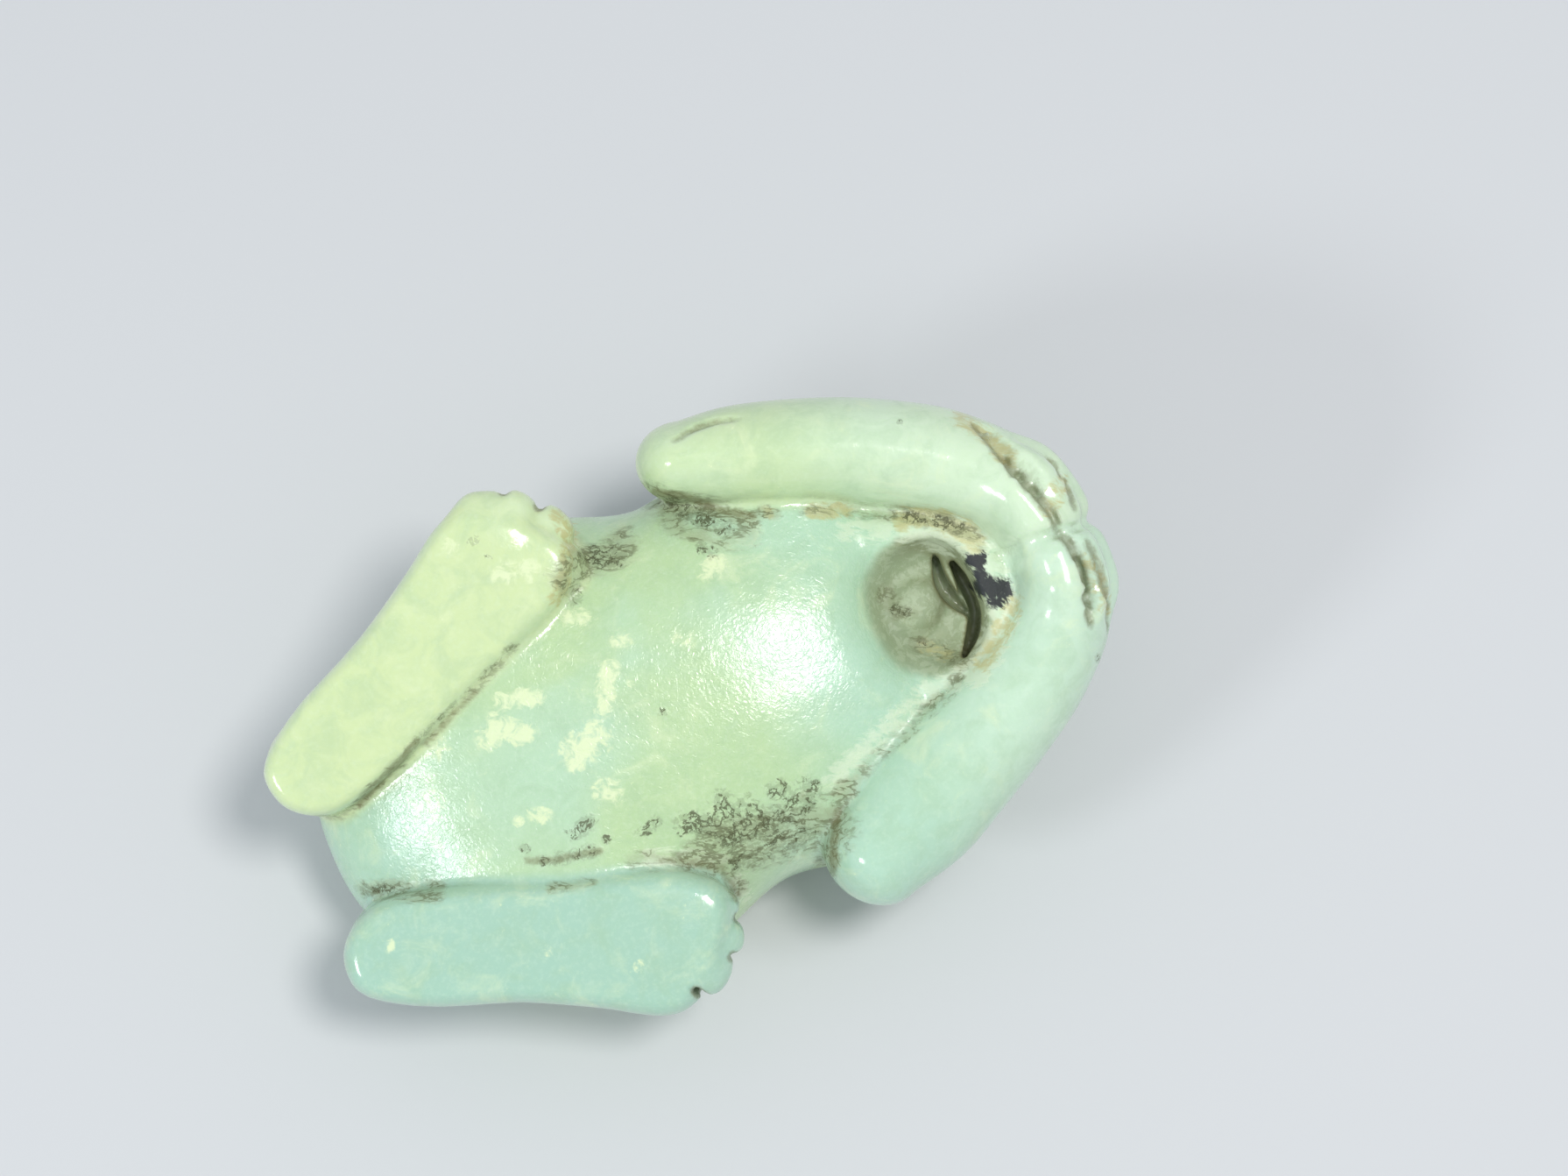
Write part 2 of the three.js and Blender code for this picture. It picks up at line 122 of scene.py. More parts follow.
# %% [markdown]
# ### Limbs
# A limb's plan is a line, so the nearest place on it is worked out once for the flat plan and then
# used at every height. Its section is an oval whose half width and half depth come with the line.
# %% Limbs along a line
def nearest_on_line(line, across, along):
    closest = np.full(np.broadcast(across, along).shape, np.inf, np.float32)
    place, side, past = (np.zeros_like(closest) for _ in range(3))
    last = len(line) - 2
    for i, (a, b) in enumerate(zip(line[:, :2], line[1:, :2])):
        span = np.linalg.norm(b - a)
        way = (b - a) / span
        run = (across - a[0]) * way[0] + (along - a[1]) * way[1]
        aside = (along - a[1]) * way[0] - (across - a[0]) * way[1]
        held = np.clip(run, 0, span)
        far = np.hypot(run - held, aside)
        nearer = far < closest
        before = (run < 0) & (i == 0)
        after = (run > span) & (i == last)
        overshoot = np.where(before | after, np.abs(run - held), 0)
        sideways = np.where(before | after, aside, np.sign(aside) * far)
        closest = np.where(nearer, far, closest)
        place = np.where(nearer, i + held / span, place)
        side = np.where(nearer, sideways, side)
        past = np.where(nearer, np.where(before, -overshoot, overshoot), past)
    return place, side, past


def limb(stations, start_reach, end_reach, steps=6, upright=False):
    line = smooth_line(stations, steps)
    across, along, height = (X[:, 0, :], Z[:, 0, :], Y) if upright else (PLAN_X, PLAN_Y, Z)
    place, side, past = nearest_on_line(line, across, along)
    marks = np.arange(len(line))
    middle, width, depth = (np.interp(place, marks, line[:, k]) for k in (2, 3, 4))
    reach = np.where(past < 0, start_reach, end_reach)
    flat = (middle, width, depth, reach, side, past)
    middle, width, depth, reach, side, past = (np.expand_dims(v, 1 if upright else 2) for v in flat)
    lift = height - middle
    whole = np.sqrt((side / width) ** 2 + (lift / depth) ** 2 + (past / reach) ** 2)
    slope = np.sqrt((side / width**2) ** 2 + (lift / depth**2) ** 2 + (past / reach**2) ** 2)
    slope = slope / np.maximum(whole, 1e-3)
    return ((whole - 1) / np.maximum(slope, 1 / np.maximum(width, depth))).astype(np.float32)


# %% [markdown]
# ### Flat soles
# A sole is an outline with depth and a rounded edge. The edge rounds further down than inwards,
# so heights are squeezed before the corner is rounded. A low crown keeps the sole from lying dead
# flat: it sinks a little towards its outline, as a polished surface does.
# %% Slabs with a rounded edge
CROWN_REACH = 3.6


def inside_distance(outline):
    closest = np.full(np.broadcast(PLAN_X, PLAN_Y).shape, np.inf, np.float32)
    inside = np.zeros(closest.shape, bool)
    for a, b in zip(outline, np.roll(outline, -1, axis=0)):
        way = b - a
        share = ((PLAN_X - a[0]) * way[0] + (PLAN_Y - a[1]) * way[1]) / (way @ way)
        share = np.clip(share, 0, 1)
        east, north = PLAN_X - a[0] - share * way[0], PLAN_Y - a[1] - share * way[1]
        closest = np.minimum(closest, np.hypot(east, north))
        crosses = (a[1] > PLAN_Y) != (b[1] > PLAN_Y)
        if abs(way[1]) > 1e-9:
            inside ^= crosses & (PLAN_X < a[0] + (PLAN_Y - a[1]) / way[1] * way[0])
    return np.where(inside, -closest, closest)


def slab(outline, top, thickness, inset, edge_depth, crown):
    squeeze = inset / edge_depth
    margin = inside_distance(outline)[:, :, None]
    beyond = margin + inset
    sunk = crown * np.clip(1 + margin / CROWN_REACH, 0, 1) ** 2
    above = (np.abs(Z - top + thickness / 2) - thickness / 2 + sunk) * squeeze + inset
    corner = np.hypot(np.maximum(beyond, 0), np.maximum(above, 0))
    return (np.minimum(np.maximum(beyond, above), 0) + corner - inset).astype(np.float32)


# %% [markdown]
# ### Blending and cutting
# Two masses are joined over a soft width: large where flesh flows into flesh, small where the
# carver left a line. A cut is the same blend turned inside out.
# %% Soft joins and cuts
def join(a, b, soft):
    share = np.clip(0.5 + 0.5 * (b - a) / soft, 0, 1)
    return (b + (a - b) * share - soft * share * (1 - share)).astype(np.float32)


def cut(a, b, soft):
    return -join(-a, b, soft)


# %% [markdown]
# ### Engraved lines
# A graver follows the surface, so a line is given in plan only, and its height is read from the
# stone: we go down from above and stop where the distance changes sign.
# %% Engraved lines
def surface_height(stone, x, y):
    i, j = (int(round((value - low) / GRID_STEP)) for value, low in zip((x, y), GRID_LOW))
    column = stone[i, j]
    k = int(np.nonzero(column < 0)[0].max())
    return GRID_LOW[2] + (k + column[k] / (column[k] - column[k + 1])) * GRID_STEP


def graver_cut(stone, plan, half_width, depth):
    plan = smooth_line([(x, y, 0) for x, y in plan], steps=3)
    taper = np.sin(np.linspace(0.12, 0.88, len(plan)) * math.pi) ** 0.5
    stations = [
        (x, y, surface_height(stone, x, y), half_width * share, depth * share)
        for (x, y, _), share in zip(plan, taper)
    ]
    return limb(stations, half_width, half_width, steps=2)


# %% [markdown]
# ## Sizes of the carving
# These are the same sizes that the measured solid has, in millimetres and degrees.
# %% Sizes
SOLE_HEIGHT = 22.0
REST_LEAN = 20.0
REST_HINGE = -22.9

BELLY_SINK, HAUNCH_SINK, SHOULDER_SINK = 0.8, 2.0, 4.0
TORSO_SIZE, TORSO_FULLNESS = (44.0, 25.8, 17.6), 2.5
TORSO_AT = (-3.8, 0.0, SOLE_HEIGHT - BELLY_SINK - TORSO_SIZE[2] / 2)
HAUNCH_SIZE, HAUNCH_TURN = (21.0, 13.0, 14.6), 17.4
HAUNCH_AT = (-11.5, 8.0, SOLE_HEIGHT - HAUNCH_SINK - HAUNCH_SIZE[2] / 2)
SHOULDER_SIZE = (15.0, 10.4, 15.0)
SHOULDER_AT = (9.5, 9.3, SOLE_HEIGHT - SHOULDER_SINK - SHOULDER_SIZE[2] / 2)
THROAT_AT, THROAT_SIZE, THROAT_FULLNESS = (17.2, 0.0, SOLE_HEIGHT - 8.1), (13.4, 15.4, 11.0), 2.4

# %% [markdown]
# ## The trunk
# Torso, haunches and shoulders melt together. In front the throat fills the arch of the forelegs:
# a low shelf of stone that the drill was later let into.
# %% The trunk
FLESH, THROAT_BLEND = 3.0, 1.6


def on_side(at, side):
    return at[0], at[1] * side, at[2]


trunk = mass(TORSO_AT, TORSO_SIZE, fullness=TORSO_FULLNESS)
for side in (1, -1):
    haunch = mass(on_side(HAUNCH_AT, side), HAUNCH_SIZE, HAUNCH_TURN * side)
    shoulder = mass(on_side(SHOULDER_AT, side), SHOULDER_SIZE)
    trunk = join(join(trunk, haunch, FLESH), shoulder, FLESH)
throat = mass(THROAT_AT, THROAT_SIZE, fullness=THROAT_FULLNESS)
trunk = join(trunk, throat, THROAT_BLEND)
print("trunk, in cubic centimetres:", round(float((trunk < 0).sum() * GRID_STEP**3 / 1000), 1))

# %% [markdown]
# ## The head
# The head is on the hidden side, so it is ours to design, and plain: a broad skull, a short
# muzzle that rests on the paws, a flat nose, small ears laid back and low round eyes.
# %% The head
SKULL_AT, SKULL_SIZE, SKULL_FULLNESS = (12.8, 0.0, 8.2), (23.0, 20.5, 16.4), 2.2
MUZZLE_AT, MUZZLE_SIZE, MUZZLE_BLEND = (20.8, 0.0, 9.8), (10.5, 11.0, 9.5), 1.6
NOSE_AT, NOSE_SIZE, NOSE_BLEND = (25.2, 0.0, 7.4), (2.8, 5.0, 3.4), 0.4
EAR_AT, EAR_SIZE, EAR_TURN, EAR_BLEND = (5.6, 8.4, 5.4), (6.0, 3.6, 4.2), 24.0, 0.5
EAR_HOLLOW_AT, EAR_HOLLOW_SIZE, EAR_HOLLOW_BLEND = (6.4, 9.8, 4.4), (3.6, 1.8, 2.4), 0.4
SOCKET_AT, SOCKET_SIZE, SOCKET_BLEND = (20.6, 7.3, 5.2), (3.8, 3.2, 3.8), 0.5
EYE_AT, EYE_SIZE, EYE_BLEND = (20.1, 6.6, 5.4), (2.8, 2.8, 2.8), 0.3
head = mass(SKULL_AT, SKULL_SIZE, fullness=SKULL_FULLNESS)
head = join(head, mass(MUZZLE_AT, MUZZLE_SIZE), MUZZLE_BLEND)
head = join(head, mass(NOSE_AT, NOSE_SIZE), NOSE_BLEND)
for side in (1, -1):
    ear = mass(on_side(EAR_AT, side), EAR_SIZE, EAR_TURN * side)
    ear_hollow = mass(on_side(EAR_HOLLOW_AT, side), EAR_HOLLOW_SIZE, EAR_TURN * side)
    head = join(head, cut(ear, ear_hollow, EAR_HOLLOW_BLEND), EAR_BLEND)
    head = cut(head, mass(on_side(SOCKET_AT, side), SOCKET_SIZE), SOCKET_BLEND)
    head = join(head, mass(on_side(EYE_AT, side), EYE_SIZE), EYE_BLEND)

# %% The mouth
MOUTH_LEVEL, MOUTH_HALF_WIDTH, MOUTH_HALF_DEPTH = 11.0, 0.6, 0.3
MOUTH_ANGLES, MOUTH_EDGE = (-62, -31, 0, 31, 62), 0.25
mouth_girth = math.sqrt(1 - ((MOUTH_LEVEL - MUZZLE_AT[2]) / (MUZZLE_SIZE[2] / 2)) ** 2)
mouth_line = [
    (
        MUZZLE_AT[0] + MUZZLE_SIZE[0] / 2 * mouth_girth * math.cos(math.radians(angle)),
        MUZZLE_SIZE[1] / 2 * mouth_girth * math.sin(math.radians(angle)),
        MOUTH_LEVEL, MOUTH_HALF_WIDTH, MOUTH_HALF_DEPTH,
    )
    for angle in MOUTH_ANGLES
]
head = cut(head, limb(mouth_line, MOUTH_HALF_WIDTH, MOUTH_HALF_WIDTH), MOUTH_EDGE)

# %% Head and trunk together
NECK_BLEND = 2.2
animal = join(trunk, head, NECK_BLEND)

# %% [markdown]
# ## The tail
# A short flat tail is laid over the rump. Its line runs in the upright plane of the spine.
# %% The tail
TAIL_LINE = [(-19.6, 5.6), (-22.8, 7.4), (-24.6, 11.4)]
TAIL_HALF_THICKNESS, TAIL_HALF_WIDTH, TAIL_BLEND = 1.4, 2.1, 0.5
tail_stations = [(x, z, 0, TAIL_HALF_THICKNESS, TAIL_HALF_WIDTH) for x, z in TAIL_LINE]
tail = limb(tail_stations, TAIL_HALF_THICKNESS, TAIL_HALF_THICKNESS, upright=True)
animal = join(animal, tail, TAIL_BLEND)

# %% [markdown]
# ## The hind feet
# Each foot is a long flat sole with a narrow waist, a broad ball and four toes. The sole stands
# proud of the belly, and the line between them is where earth has settled. Two toes of each foot
# lie as a low rim round the ball, and the other two end nearly level with the sole.
# %% The outline of a sole
HEEL_REACH, FOOT_LENGTH, FOOT_OUTER_LENGTH = 2.7, 21.7, 18.8
OUTER_WAIST, INNER_WAIST, OUTER_BALL, INNER_BALL = 3.25, 4.2, 4.4, 4.6
FEET = {"left": ((-24.3, 5.4), 24.8, 1), "right": ((-24.1, -7.0), -20.8, -1)}


def foot_place(foot, along, out):
    heel, turn, side = FEET[foot]
    c, s = math.cos(math.radians(turn)), math.sin(math.radians(turn))
    return heel[0] + along * c - out * side * s, heel[1] + along * s + out * side * c


def foot_outline(foot):
    outline = [
        (-HEEL_REACH, 0), (-0.75 * HEEL_REACH, -0.45 * INNER_WAIST),
        (-0.1 * HEEL_REACH, -0.8 * INNER_WAIST),
        (0.2 * FOOT_LENGTH, -0.98 * INNER_WAIST), (0.5 * FOOT_LENGTH, -INNER_WAIST),
        (0.85 * FOOT_LENGTH, -INNER_BALL), (0.98 * FOOT_LENGTH, -0.75 * INNER_BALL),
        (FOOT_LENGTH, -0.3 * INNER_BALL),
        (0.5 * (FOOT_LENGTH + FOOT_OUTER_LENGTH), 0.5 * OUTER_BALL),
        (FOOT_OUTER_LENGTH, 0.92 * OUTER_BALL), (0.9 * FOOT_OUTER_LENGTH, OUTER_BALL),
        (0.62 * FOOT_LENGTH, 0.5 * (OUTER_BALL + OUTER_WAIST)), (0.38 * FOOT_LENGTH, OUTER_WAIST),
        (0.08 * FOOT_LENGTH, OUTER_WAIST), (-0.7 * HEEL_REACH, 0.68 * OUTER_WAIST),
    ]
    return smooth_line([foot_place(foot, *point) for point in outline], steps=4, closed=True)


# %% [markdown]
# A toe is a small mass that points away from the middle of the ball. Each is given by its
# direction, the reach of its tip, its width and how deep its middle lies under the sole. Short
# upright cuts part them.
# %% Toes and the cuts between them
FAN_MIDDLE = (16.0, -0.6)
TOES = {
    "left": [(-30, 6.4, 3.6, 3.3), (-3, 6.9, 3.6, 3.1), (23, 6.6, 2.8, 2.5), (45, 6.3, 3.8, 2.45)],
    "right": [(-17, 6.4, 2.4, 3.1), (4, 6.4, 2.8, 2.9), (30, 6.1, 3.4, 2.5), (66, 4.9, 2.8, 2.4)],
}
TOE_LENGTH, TOE_DEPTH, TOE_FULLNESS = 5.6, 4.3, 2.7
TOE_CUTS = {"left": [(32, 6.4), (10, 6.3)], "right": [(-8, 6.2), (15, 5.9), (46, 4.8)]}
CUT_LENGTH, CUT_HALF_WIDTH, CUT_HALF_DEPTH, CUT_SINK = 2.6, 0.3, 3.2, 1.6


def on_ball(foot, angle, reach):
    fan = math.radians(angle)
    along, out = FAN_MIDDLE[0] + reach * math.cos(fan), FAN_MIDDLE[1] + reach * math.sin(fan)
    return foot_place(foot, along, out)


def toe(foot, angle, reach, width, drop):
    turn = FEET[foot][1] + angle * FEET[foot][2]
    at = (*on_ball(foot, angle, reach - TOE_LENGTH / 2), SOLE_HEIGHT - drop)
    return mass(at, (TOE_LENGTH, width, TOE_DEPTH), turn, TOE_FULLNESS)


def toe_cut(foot, angle, reach):
    ends = [on_ball(foot, angle, reach + more) for more in (0, CUT_LENGTH / 2, CUT_LENGTH)]
    stations = [(x, y, SOLE_HEIGHT - CUT_SINK, CUT_HALF_WIDTH, CUT_HALF_DEPTH) for x, y in ends]
    return limb(stations, CUT_HALF_WIDTH, CUT_HALF_WIDTH, steps=2)


# %% The hind feet
FAR = 9.0
SOLE_LINE = 0.5
SOLE_THICKNESS, SOLE_CROWN, EDGE_INSET, EDGE_DEPTH = 6.5, 0.3, 1.0, 1.8
SHANK_LENGTH, SHANK_SINK, SHANK_HALF, SHANK_BLEND = 12.0, 6.25, (3.2, 4.25), 1.2
SHANK_ENDS = (2.4, 3.2)
RIM_TOE_BLEND, LEVEL_TOE_BLEND, LEVEL_TOE_DROP = 0.3, 0.8, 2.6
feet, toe_cuts = {}, np.full_like(animal, FAR)
for name in FEET:
    foot = slab(foot_outline(name), SOLE_HEIGHT, SOLE_THICKNESS, EDGE_INSET, EDGE_DEPTH, SOLE_CROWN)
    shank = [
        (*foot_place(name, share * SHANK_LENGTH, 0), SOLE_HEIGHT - SHANK_SINK, *SHANK_HALF)
        for share in (0, 0.5, 1)
    ]
    foot = join(foot, limb(shank, *SHANK_ENDS), SHANK_BLEND)
    for angle, reach, width, drop in TOES[name]:
        soft = LEVEL_TOE_BLEND if drop < LEVEL_TOE_DROP else RIM_TOE_BLEND
        foot = join(foot, toe(name, angle, reach, width, drop), soft)
    for angle, reach in TOE_CUTS[name]:
        parting = toe_cut(name, angle, reach)
        foot = cut(foot, parting, CUT_HALF_WIDTH)
        toe_cuts = np.minimum(toe_cuts, parting)
    feet[name] = foot
    animal = join(animal, foot, SOLE_LINE)
print("toes:", sum(len(toes) for toes in TOES.values()))

# %% [markdown]
# ## The forelegs
# The forelegs bend round in an arch and the paws meet tip to tip. Four digits lie on each paw,
# stacked from the sole side down to the muzzle, so their grooves show on the outer edge.
# %% The forelegs
FORELEGS = {
    "left": (1, [
        (4.9, 14.4, 2.6), (7.6, 13.6, 3.2), (10.4, 12.7, 3.4), (13.8, 11.5, 3.4), (17.2, 9.8, 3.5),
        (20.2, 7.9, 3.5), (22.6, 5.6, 3.3), (23.8, 3.2, 3.2), (24.1, 1.9, 3.1),
    ]),
    "right": (-1, [
        (6.5, -13.4, 3.5), (10.0, -11.8, 4.3), (13.6, -10.1, 4.2), (17.2, -8.4, 3.9),
        (20.4, -6.5, 3.6), (23.1, -4.1, 3.3), (24.1, -1.6, 3.1), (24.2, -0.4, 3.0),
    ]),
}
FORELEG_HALF = 4.5
FORELEG_MIDDLE = SOLE_HEIGHT - 0.6 - FORELEG_HALF
ELBOW_REACH, PAW_REACH, PAW_BLEND = 2.9, 2.0, 0.5
DIGIT_RADIUS, DIGIT_PROUD, DIGIT_START = 1.55, 0.6, 0.7
DIGIT_COUNT, DIGIT_FAN_START, DIGIT_FAN_STEP = 4, 2, 37
FIRST_DIGIT_BLEND, DIGIT_BLEND = 1.4, 0.5


def digit_line(plan, side, fan):
    line = smooth_line([(x, y, 0, w, 0) for x, y, w in plan])
    stations = []
    for step in range(4):
        share = DIGIT_START + (1 - DIGIT_START) * step / 3
        i = share * (len(line) - 1)
        x, y, _, width, _ = (np.interp(i, np.arange(len(line)), line[:, k]) for k in range(5))
        j = min(int(i), len(line) - 2)
        forward = line[j + 1, :2] - line[j, :2]
        forward = forward / np.linalg.norm(forward)
        sunk = 1.5 * DIGIT_RADIUS if step == 0 else DIGIT_RADIUS - DIGIT_PROUD
        out = (width - sunk) * math.sin(fan) * side
        lift = (FORELEG_HALF - sunk) * math.cos(fan)
        place = (x - forward[1] * out, y + forward[0] * out, FORELEG_MIDDLE + lift)
        stations.append((*place, DIGIT_RADIUS, DIGIT_RADIUS))
    return stations


forelegs = {}
for name, (side, plan) in FORELEGS.items():
    stations = [(x, y, FORELEG_MIDDLE, w, FORELEG_HALF) for x, y, w in plan]
    foreleg = limb(stations, ELBOW_REACH, PAW_REACH)
    for i in range(DIGIT_COUNT):
        fan = math.radians(DIGIT_FAN_START + DIGIT_FAN_STEP * i)
        digit = limb(digit_line(plan, side, fan), DIGIT_RADIUS, DIGIT_RADIUS)
        foreleg = join(foreleg, digit, FIRST_DIGIT_BLEND if i == 0 else DIGIT_BLEND)
    forelegs[name] = foreleg
paws = join(forelegs["left"], forelegs["right"], PAW_BLEND)
animal = join(animal, paws, PAW_BLEND)
print("forelegs:", list(forelegs))

# %% [markdown]
# ### Lines between the digits
# Two lines part the digits on each paw. The first is cut like a wedge, steep on the inner side and
# sloping on the outer one, so we cut it twice: once wide, a little further out, and once narrow.
# The paws meet in a shallow line, and a fine one crosses the left elbow.
# %% Lines between the digits
DIGIT_LINES = [
    [(22.9, 9.1), (23.4, 7.5), (23.8, 5.7), (24.5, 3.9), (25.0, 1.9), (24.9, 1.0)],
    [(25.0, 0.9), (25.3, -0.1), (25.3, -1.0), (25.2, -2.1), (24.9, -3.5), (24.6, -4.9)],
]
WEDGE_SLOPES = [
    [(23.8, 8.4), (24.3, 7.0), (24.8, 5.2), (25.4, 3.4)],
    [(25.9, -0.6), (25.9, -1.9), (25.6, -3.4), (25.3, -4.4)],
]
OUTER_LINES = [
    [(26.4, 5.4), (26.6, 4.2), (26.7, 3.1), (26.5, 2.2)],
    [(26.4, -0.4), (26.5, -1.5), (26.4, -2.8), (26.2, -4.2), (25.7, -5.8)],
]
PAW_LINE = [(21.2, 1.1), (22.8, 1.2), (23.8, 1.2), (24.9, 1.0), (26.2, 0.8)]
ELBOW_LINE = [(5.2, 15.7), (6.5, 15.9), (8.0, 15.8), (9.2, 15.5)]

# %% Cut them: plans, half width, depth and how soft the edge is
ENGRAVED = [
    (WEDGE_SLOPES, 1.0, 0.55, 0.25),
    (DIGIT_LINES, 0.32, 0.8, 0.2),
    (OUTER_LINES, 0.26, 0.45, 0.2),
    ([PAW_LINE], 0.4, 0.35, 0.4),
    ([ELBOW_LINE], 0.2, 0.3, 0.15),
]
WIDEST_WITH_EARTH = 0.35
digit_lines = np.full_like(animal, FAR)
for plans, half_width, depth, soft in ENGRAVED:
    for plan in plans:
        line = graver_cut(animal, plan, half_width, depth)
        animal = cut(animal, line, soft)
        if half_width < WIDEST_WITH_EARTH:
            digit_lines = np.minimum(digit_lines, line)
print("engraved lines:", sum(len(plans) for plans, *_ in ENGRAVED))

# %% [markdown]
# ## The drilled pocket
# Behind the paws a tube drill has taken a hollow out of the throat. Its far wall is steep and
# crisp. Towards the belly it runs out softly, so the blend is wider there. A low fold and two
# curved slits are cut in its floor, with a thin ridge between them.
# %% The drilled pocket
POCKET_AT, POCKET_SIZE, POCKET_FULLNESS = (15.7, -0.1, SOLE_HEIGHT), (7.2, 9.0, 12.4), 2.7
CRISP, SOFTER, SOFT_FROM, SOFT_WITHIN = 0.3, 2.4, 16.6, 3.2
FOLD_AT, FOLD_SIZE, FOLD_TURN = (15.0, 0.1, SOLE_HEIGHT - 6.3), (4.4, 3.6, 3.6), 25.0
FOLD_BLEND = 0.8
pocket = mass(POCKET_AT, POCKET_SIZE, fullness=POCKET_FULLNESS)
pocket_softness = CRISP + SOFTER * np.clip((SOFT_FROM - X) / SOFT_WITHIN, 0, 1) ** 2
animal = cut(animal, pocket, pocket_softness)
animal = join(animal, mass(FOLD_AT, FOLD_SIZE, FOLD_TURN), FOLD_BLEND)

# %% The two slits
SLIT_PLANS = [
    [(17.4, 2.4), (17.2, 0.7), (17.5, -0.5), (18.0, -1.6)],
    [(18.3, 1.7), (18.5, 0.3), (18.5, -1.4), (17.9, -2.7), (16.5, -4.2)],
]
SLIT_HALF_WIDTH, SLIT_TIP_WIDTH, SLIT_TIP_REACH = 0.48, 0.2, 0.3
SLIT_LEVEL, SLIT_HALF_DEPTH, SLIT_EDGE = SOLE_HEIGHT - 5.6, 1.7, 0.15
slits = np.full_like(animal, FAR)
for slit in SLIT_PLANS:
    widths = [SLIT_TIP_WIDTH] + [SLIT_HALF_WIDTH] * (len(slit) - 2) + [SLIT_TIP_WIDTH]
    stations = [(x, y, SLIT_LEVEL, w, SLIT_HALF_DEPTH) for (x, y), w in zip(slit, widths)]
    slits = np.minimum(slits, limb(stations, SLIT_TIP_REACH, SLIT_TIP_REACH))
animal = cut(animal, slits, SLIT_EDGE)
print("slits:", len(SLIT_PLANS))

# %% [markdown]
# ### An uneven hand
# Nothing cut by hand is true. We add slow waves to the distance, a tenth of a millimetre or so
# high, made from seeded random knots with a smooth curve through them. They bend the reflections.
# Each wave has a height, a length and a seed.
# %% An uneven hand
WAVES = [(0.16, 6.5, 3), (0.05, 2.4, 8)]


def knot_weights(axis, size):
    place = (axis - axis[0]) / size
    base, t = place.astype(int), place % 1
    weights = np.zeros((len(axis), int(place[-1]) + 4), np.float32)
    rows = np.arange(len(axis))
    shares = (
        (1 - t) ** 3 / 6, (3 * t**3 - 6 * t**2 + 4) / 6,
        (3 * t - 3 * t**3 + 3 * t**2 + 1) / 6, t**3 / 6,
    )
    for k, share in enumerate(shares):
        weights[rows, base + k] = share
    return weights


def slow_wave(size, seed):
    weights = [knot_weights(axis, size) for axis in axes]
    knots = np.random.default_rng(seed).standard_normal([w.shape[1] for w in weights])
    knots = knots.astype(np.float32)
    return np.einsum("ia,jb,kc,abc->ijk", *weights, knots, optimize=True)


for height, length, seed in WAVES:
    animal = animal + height * slow_wave(length, seed)
print("waves:", len(WAVES))

# %% [markdown]
# ## From distances to a mesh
# A volume grid takes the distances and lays faces where they are zero. We turn the mesh from the
# carver's frame into the rest: leaned over, set on the table, with the lowest places flattened
# into small worn spots, and placed in the measured solid's box.
# %% Lay the mesh
grid = openvdb.FloatGrid()
grid.copyFromArray(np.ascontiguousarray(animal, dtype=np.float32))
corners, triangles, quads = grid.convertToPolygons(isovalue=0.0, adaptivity=0.0)
laid = corners * GRID_STEP + GRID_LOW
print("corners:", len(laid), "quads:", len(quads), "triangles:", len(triangles))

# %% Turn it into its rest
REST_SHIFT = np.array([2.1155, 5.9084, -1.4906])
hinge = math.radians(REST_HINGE)
lean = Matrix.Rotation(math.radians(REST_LEAN), 3, Vector((math.cos(hinge), math.sin(hinge), 0)))
LEAN = np.array(lean)
rested = laid @ LEAN.T + REST_SHIFT
print("lowest point before the worn spots:", round(float(rested[:, 2].min()), 2), "mm")
rested[:, 2] = np.maximum(rested[:, 2], 0.0)


# %% Make the carving
def mesh_object(name, points, faces):
    mesh = bpy.data.meshes.new(name)
    mesh.from_pydata([tuple(p) for p in points], [], [tuple(f) for f in faces])
    mesh.validate()
    mesh.update()
    piece = bpy.data.objects.new(name, mesh)
    bpy.context.scene.collection.objects.link(piece)
    return piece


carving = mesh_object("jade_carving", rested * MM, quads.tolist() + triangles.tolist())

# %% [markdown]
# ### Fewer faces below
# The side that lies on the table is plain, so its faces are thinned out by a modifier that works
# only on a group of corners. The carved side keeps every face.
# %% Fewer faces below
MOST_TRIANGLES = 190000
CARVED_SIDE = 11.0


def thin_out_below(piece, heights, level, most):
    group = piece.vertex_groups.new(name="below")
    group.add([int(i) for i in np.nonzero(heights < level)[0]], 1.0, "REPLACE")
    thinner = piece.modifiers.new("thinner", "DECIMATE")
    thinner.ratio = most / sum(len(p.vertices) - 2 for p in piece.data.polygons)
    thinner.vertex_group = group.name
    shown = piece.evaluated_get(bpy.context.evaluated_depsgraph_get())
    mesh = bpy.data.meshes.new_from_object(shown)
    piece.modifiers.remove(thinner)
    piece.vertex_groups.clear()
    piece.data = mesh
    mesh.name = piece.name


thin_out_below(carving, laid[:, 2], CARVED_SIDE, MOST_TRIANGLES)
carving.data.shade_smooth()
corner_places = np.zeros(len(carving.data.vertices) * 3)
carving.data.vertices.foreach_get("co", corner_places)
corner_ways = np.zeros(len(carving.data.vertices) * 3)
carving.data.vertices.foreach_get("normal", corner_ways)
carved = (corner_places.reshape(-1, 3) / MM - REST_SHIFT) @ LEAN
outward = corner_ways.reshape(-1, 3) @ LEAN
print("triangles:", sum(len(p.vertices) - 2 for p in carving.data.polygons))

# %% [markdown]
# ## Marks that the finish follows
# Earth stays in the creases and not on the crests, and shade falls there too, so the crease
# mark is painted as earth and as painted shade together. The distance grid knows where the
# creases are: a step straight out of a free surface ends one step away from the stone, and a
# step out of a crease ends nearer to it. A step inwards tells in the same way how thin the
# stone is; thin stone gets a painted glow of light shining through. Some masses stretch their
# distances, so both are compared with a short step inwards.
# %% Reading the grid at the mesh
PROBE = 0.4


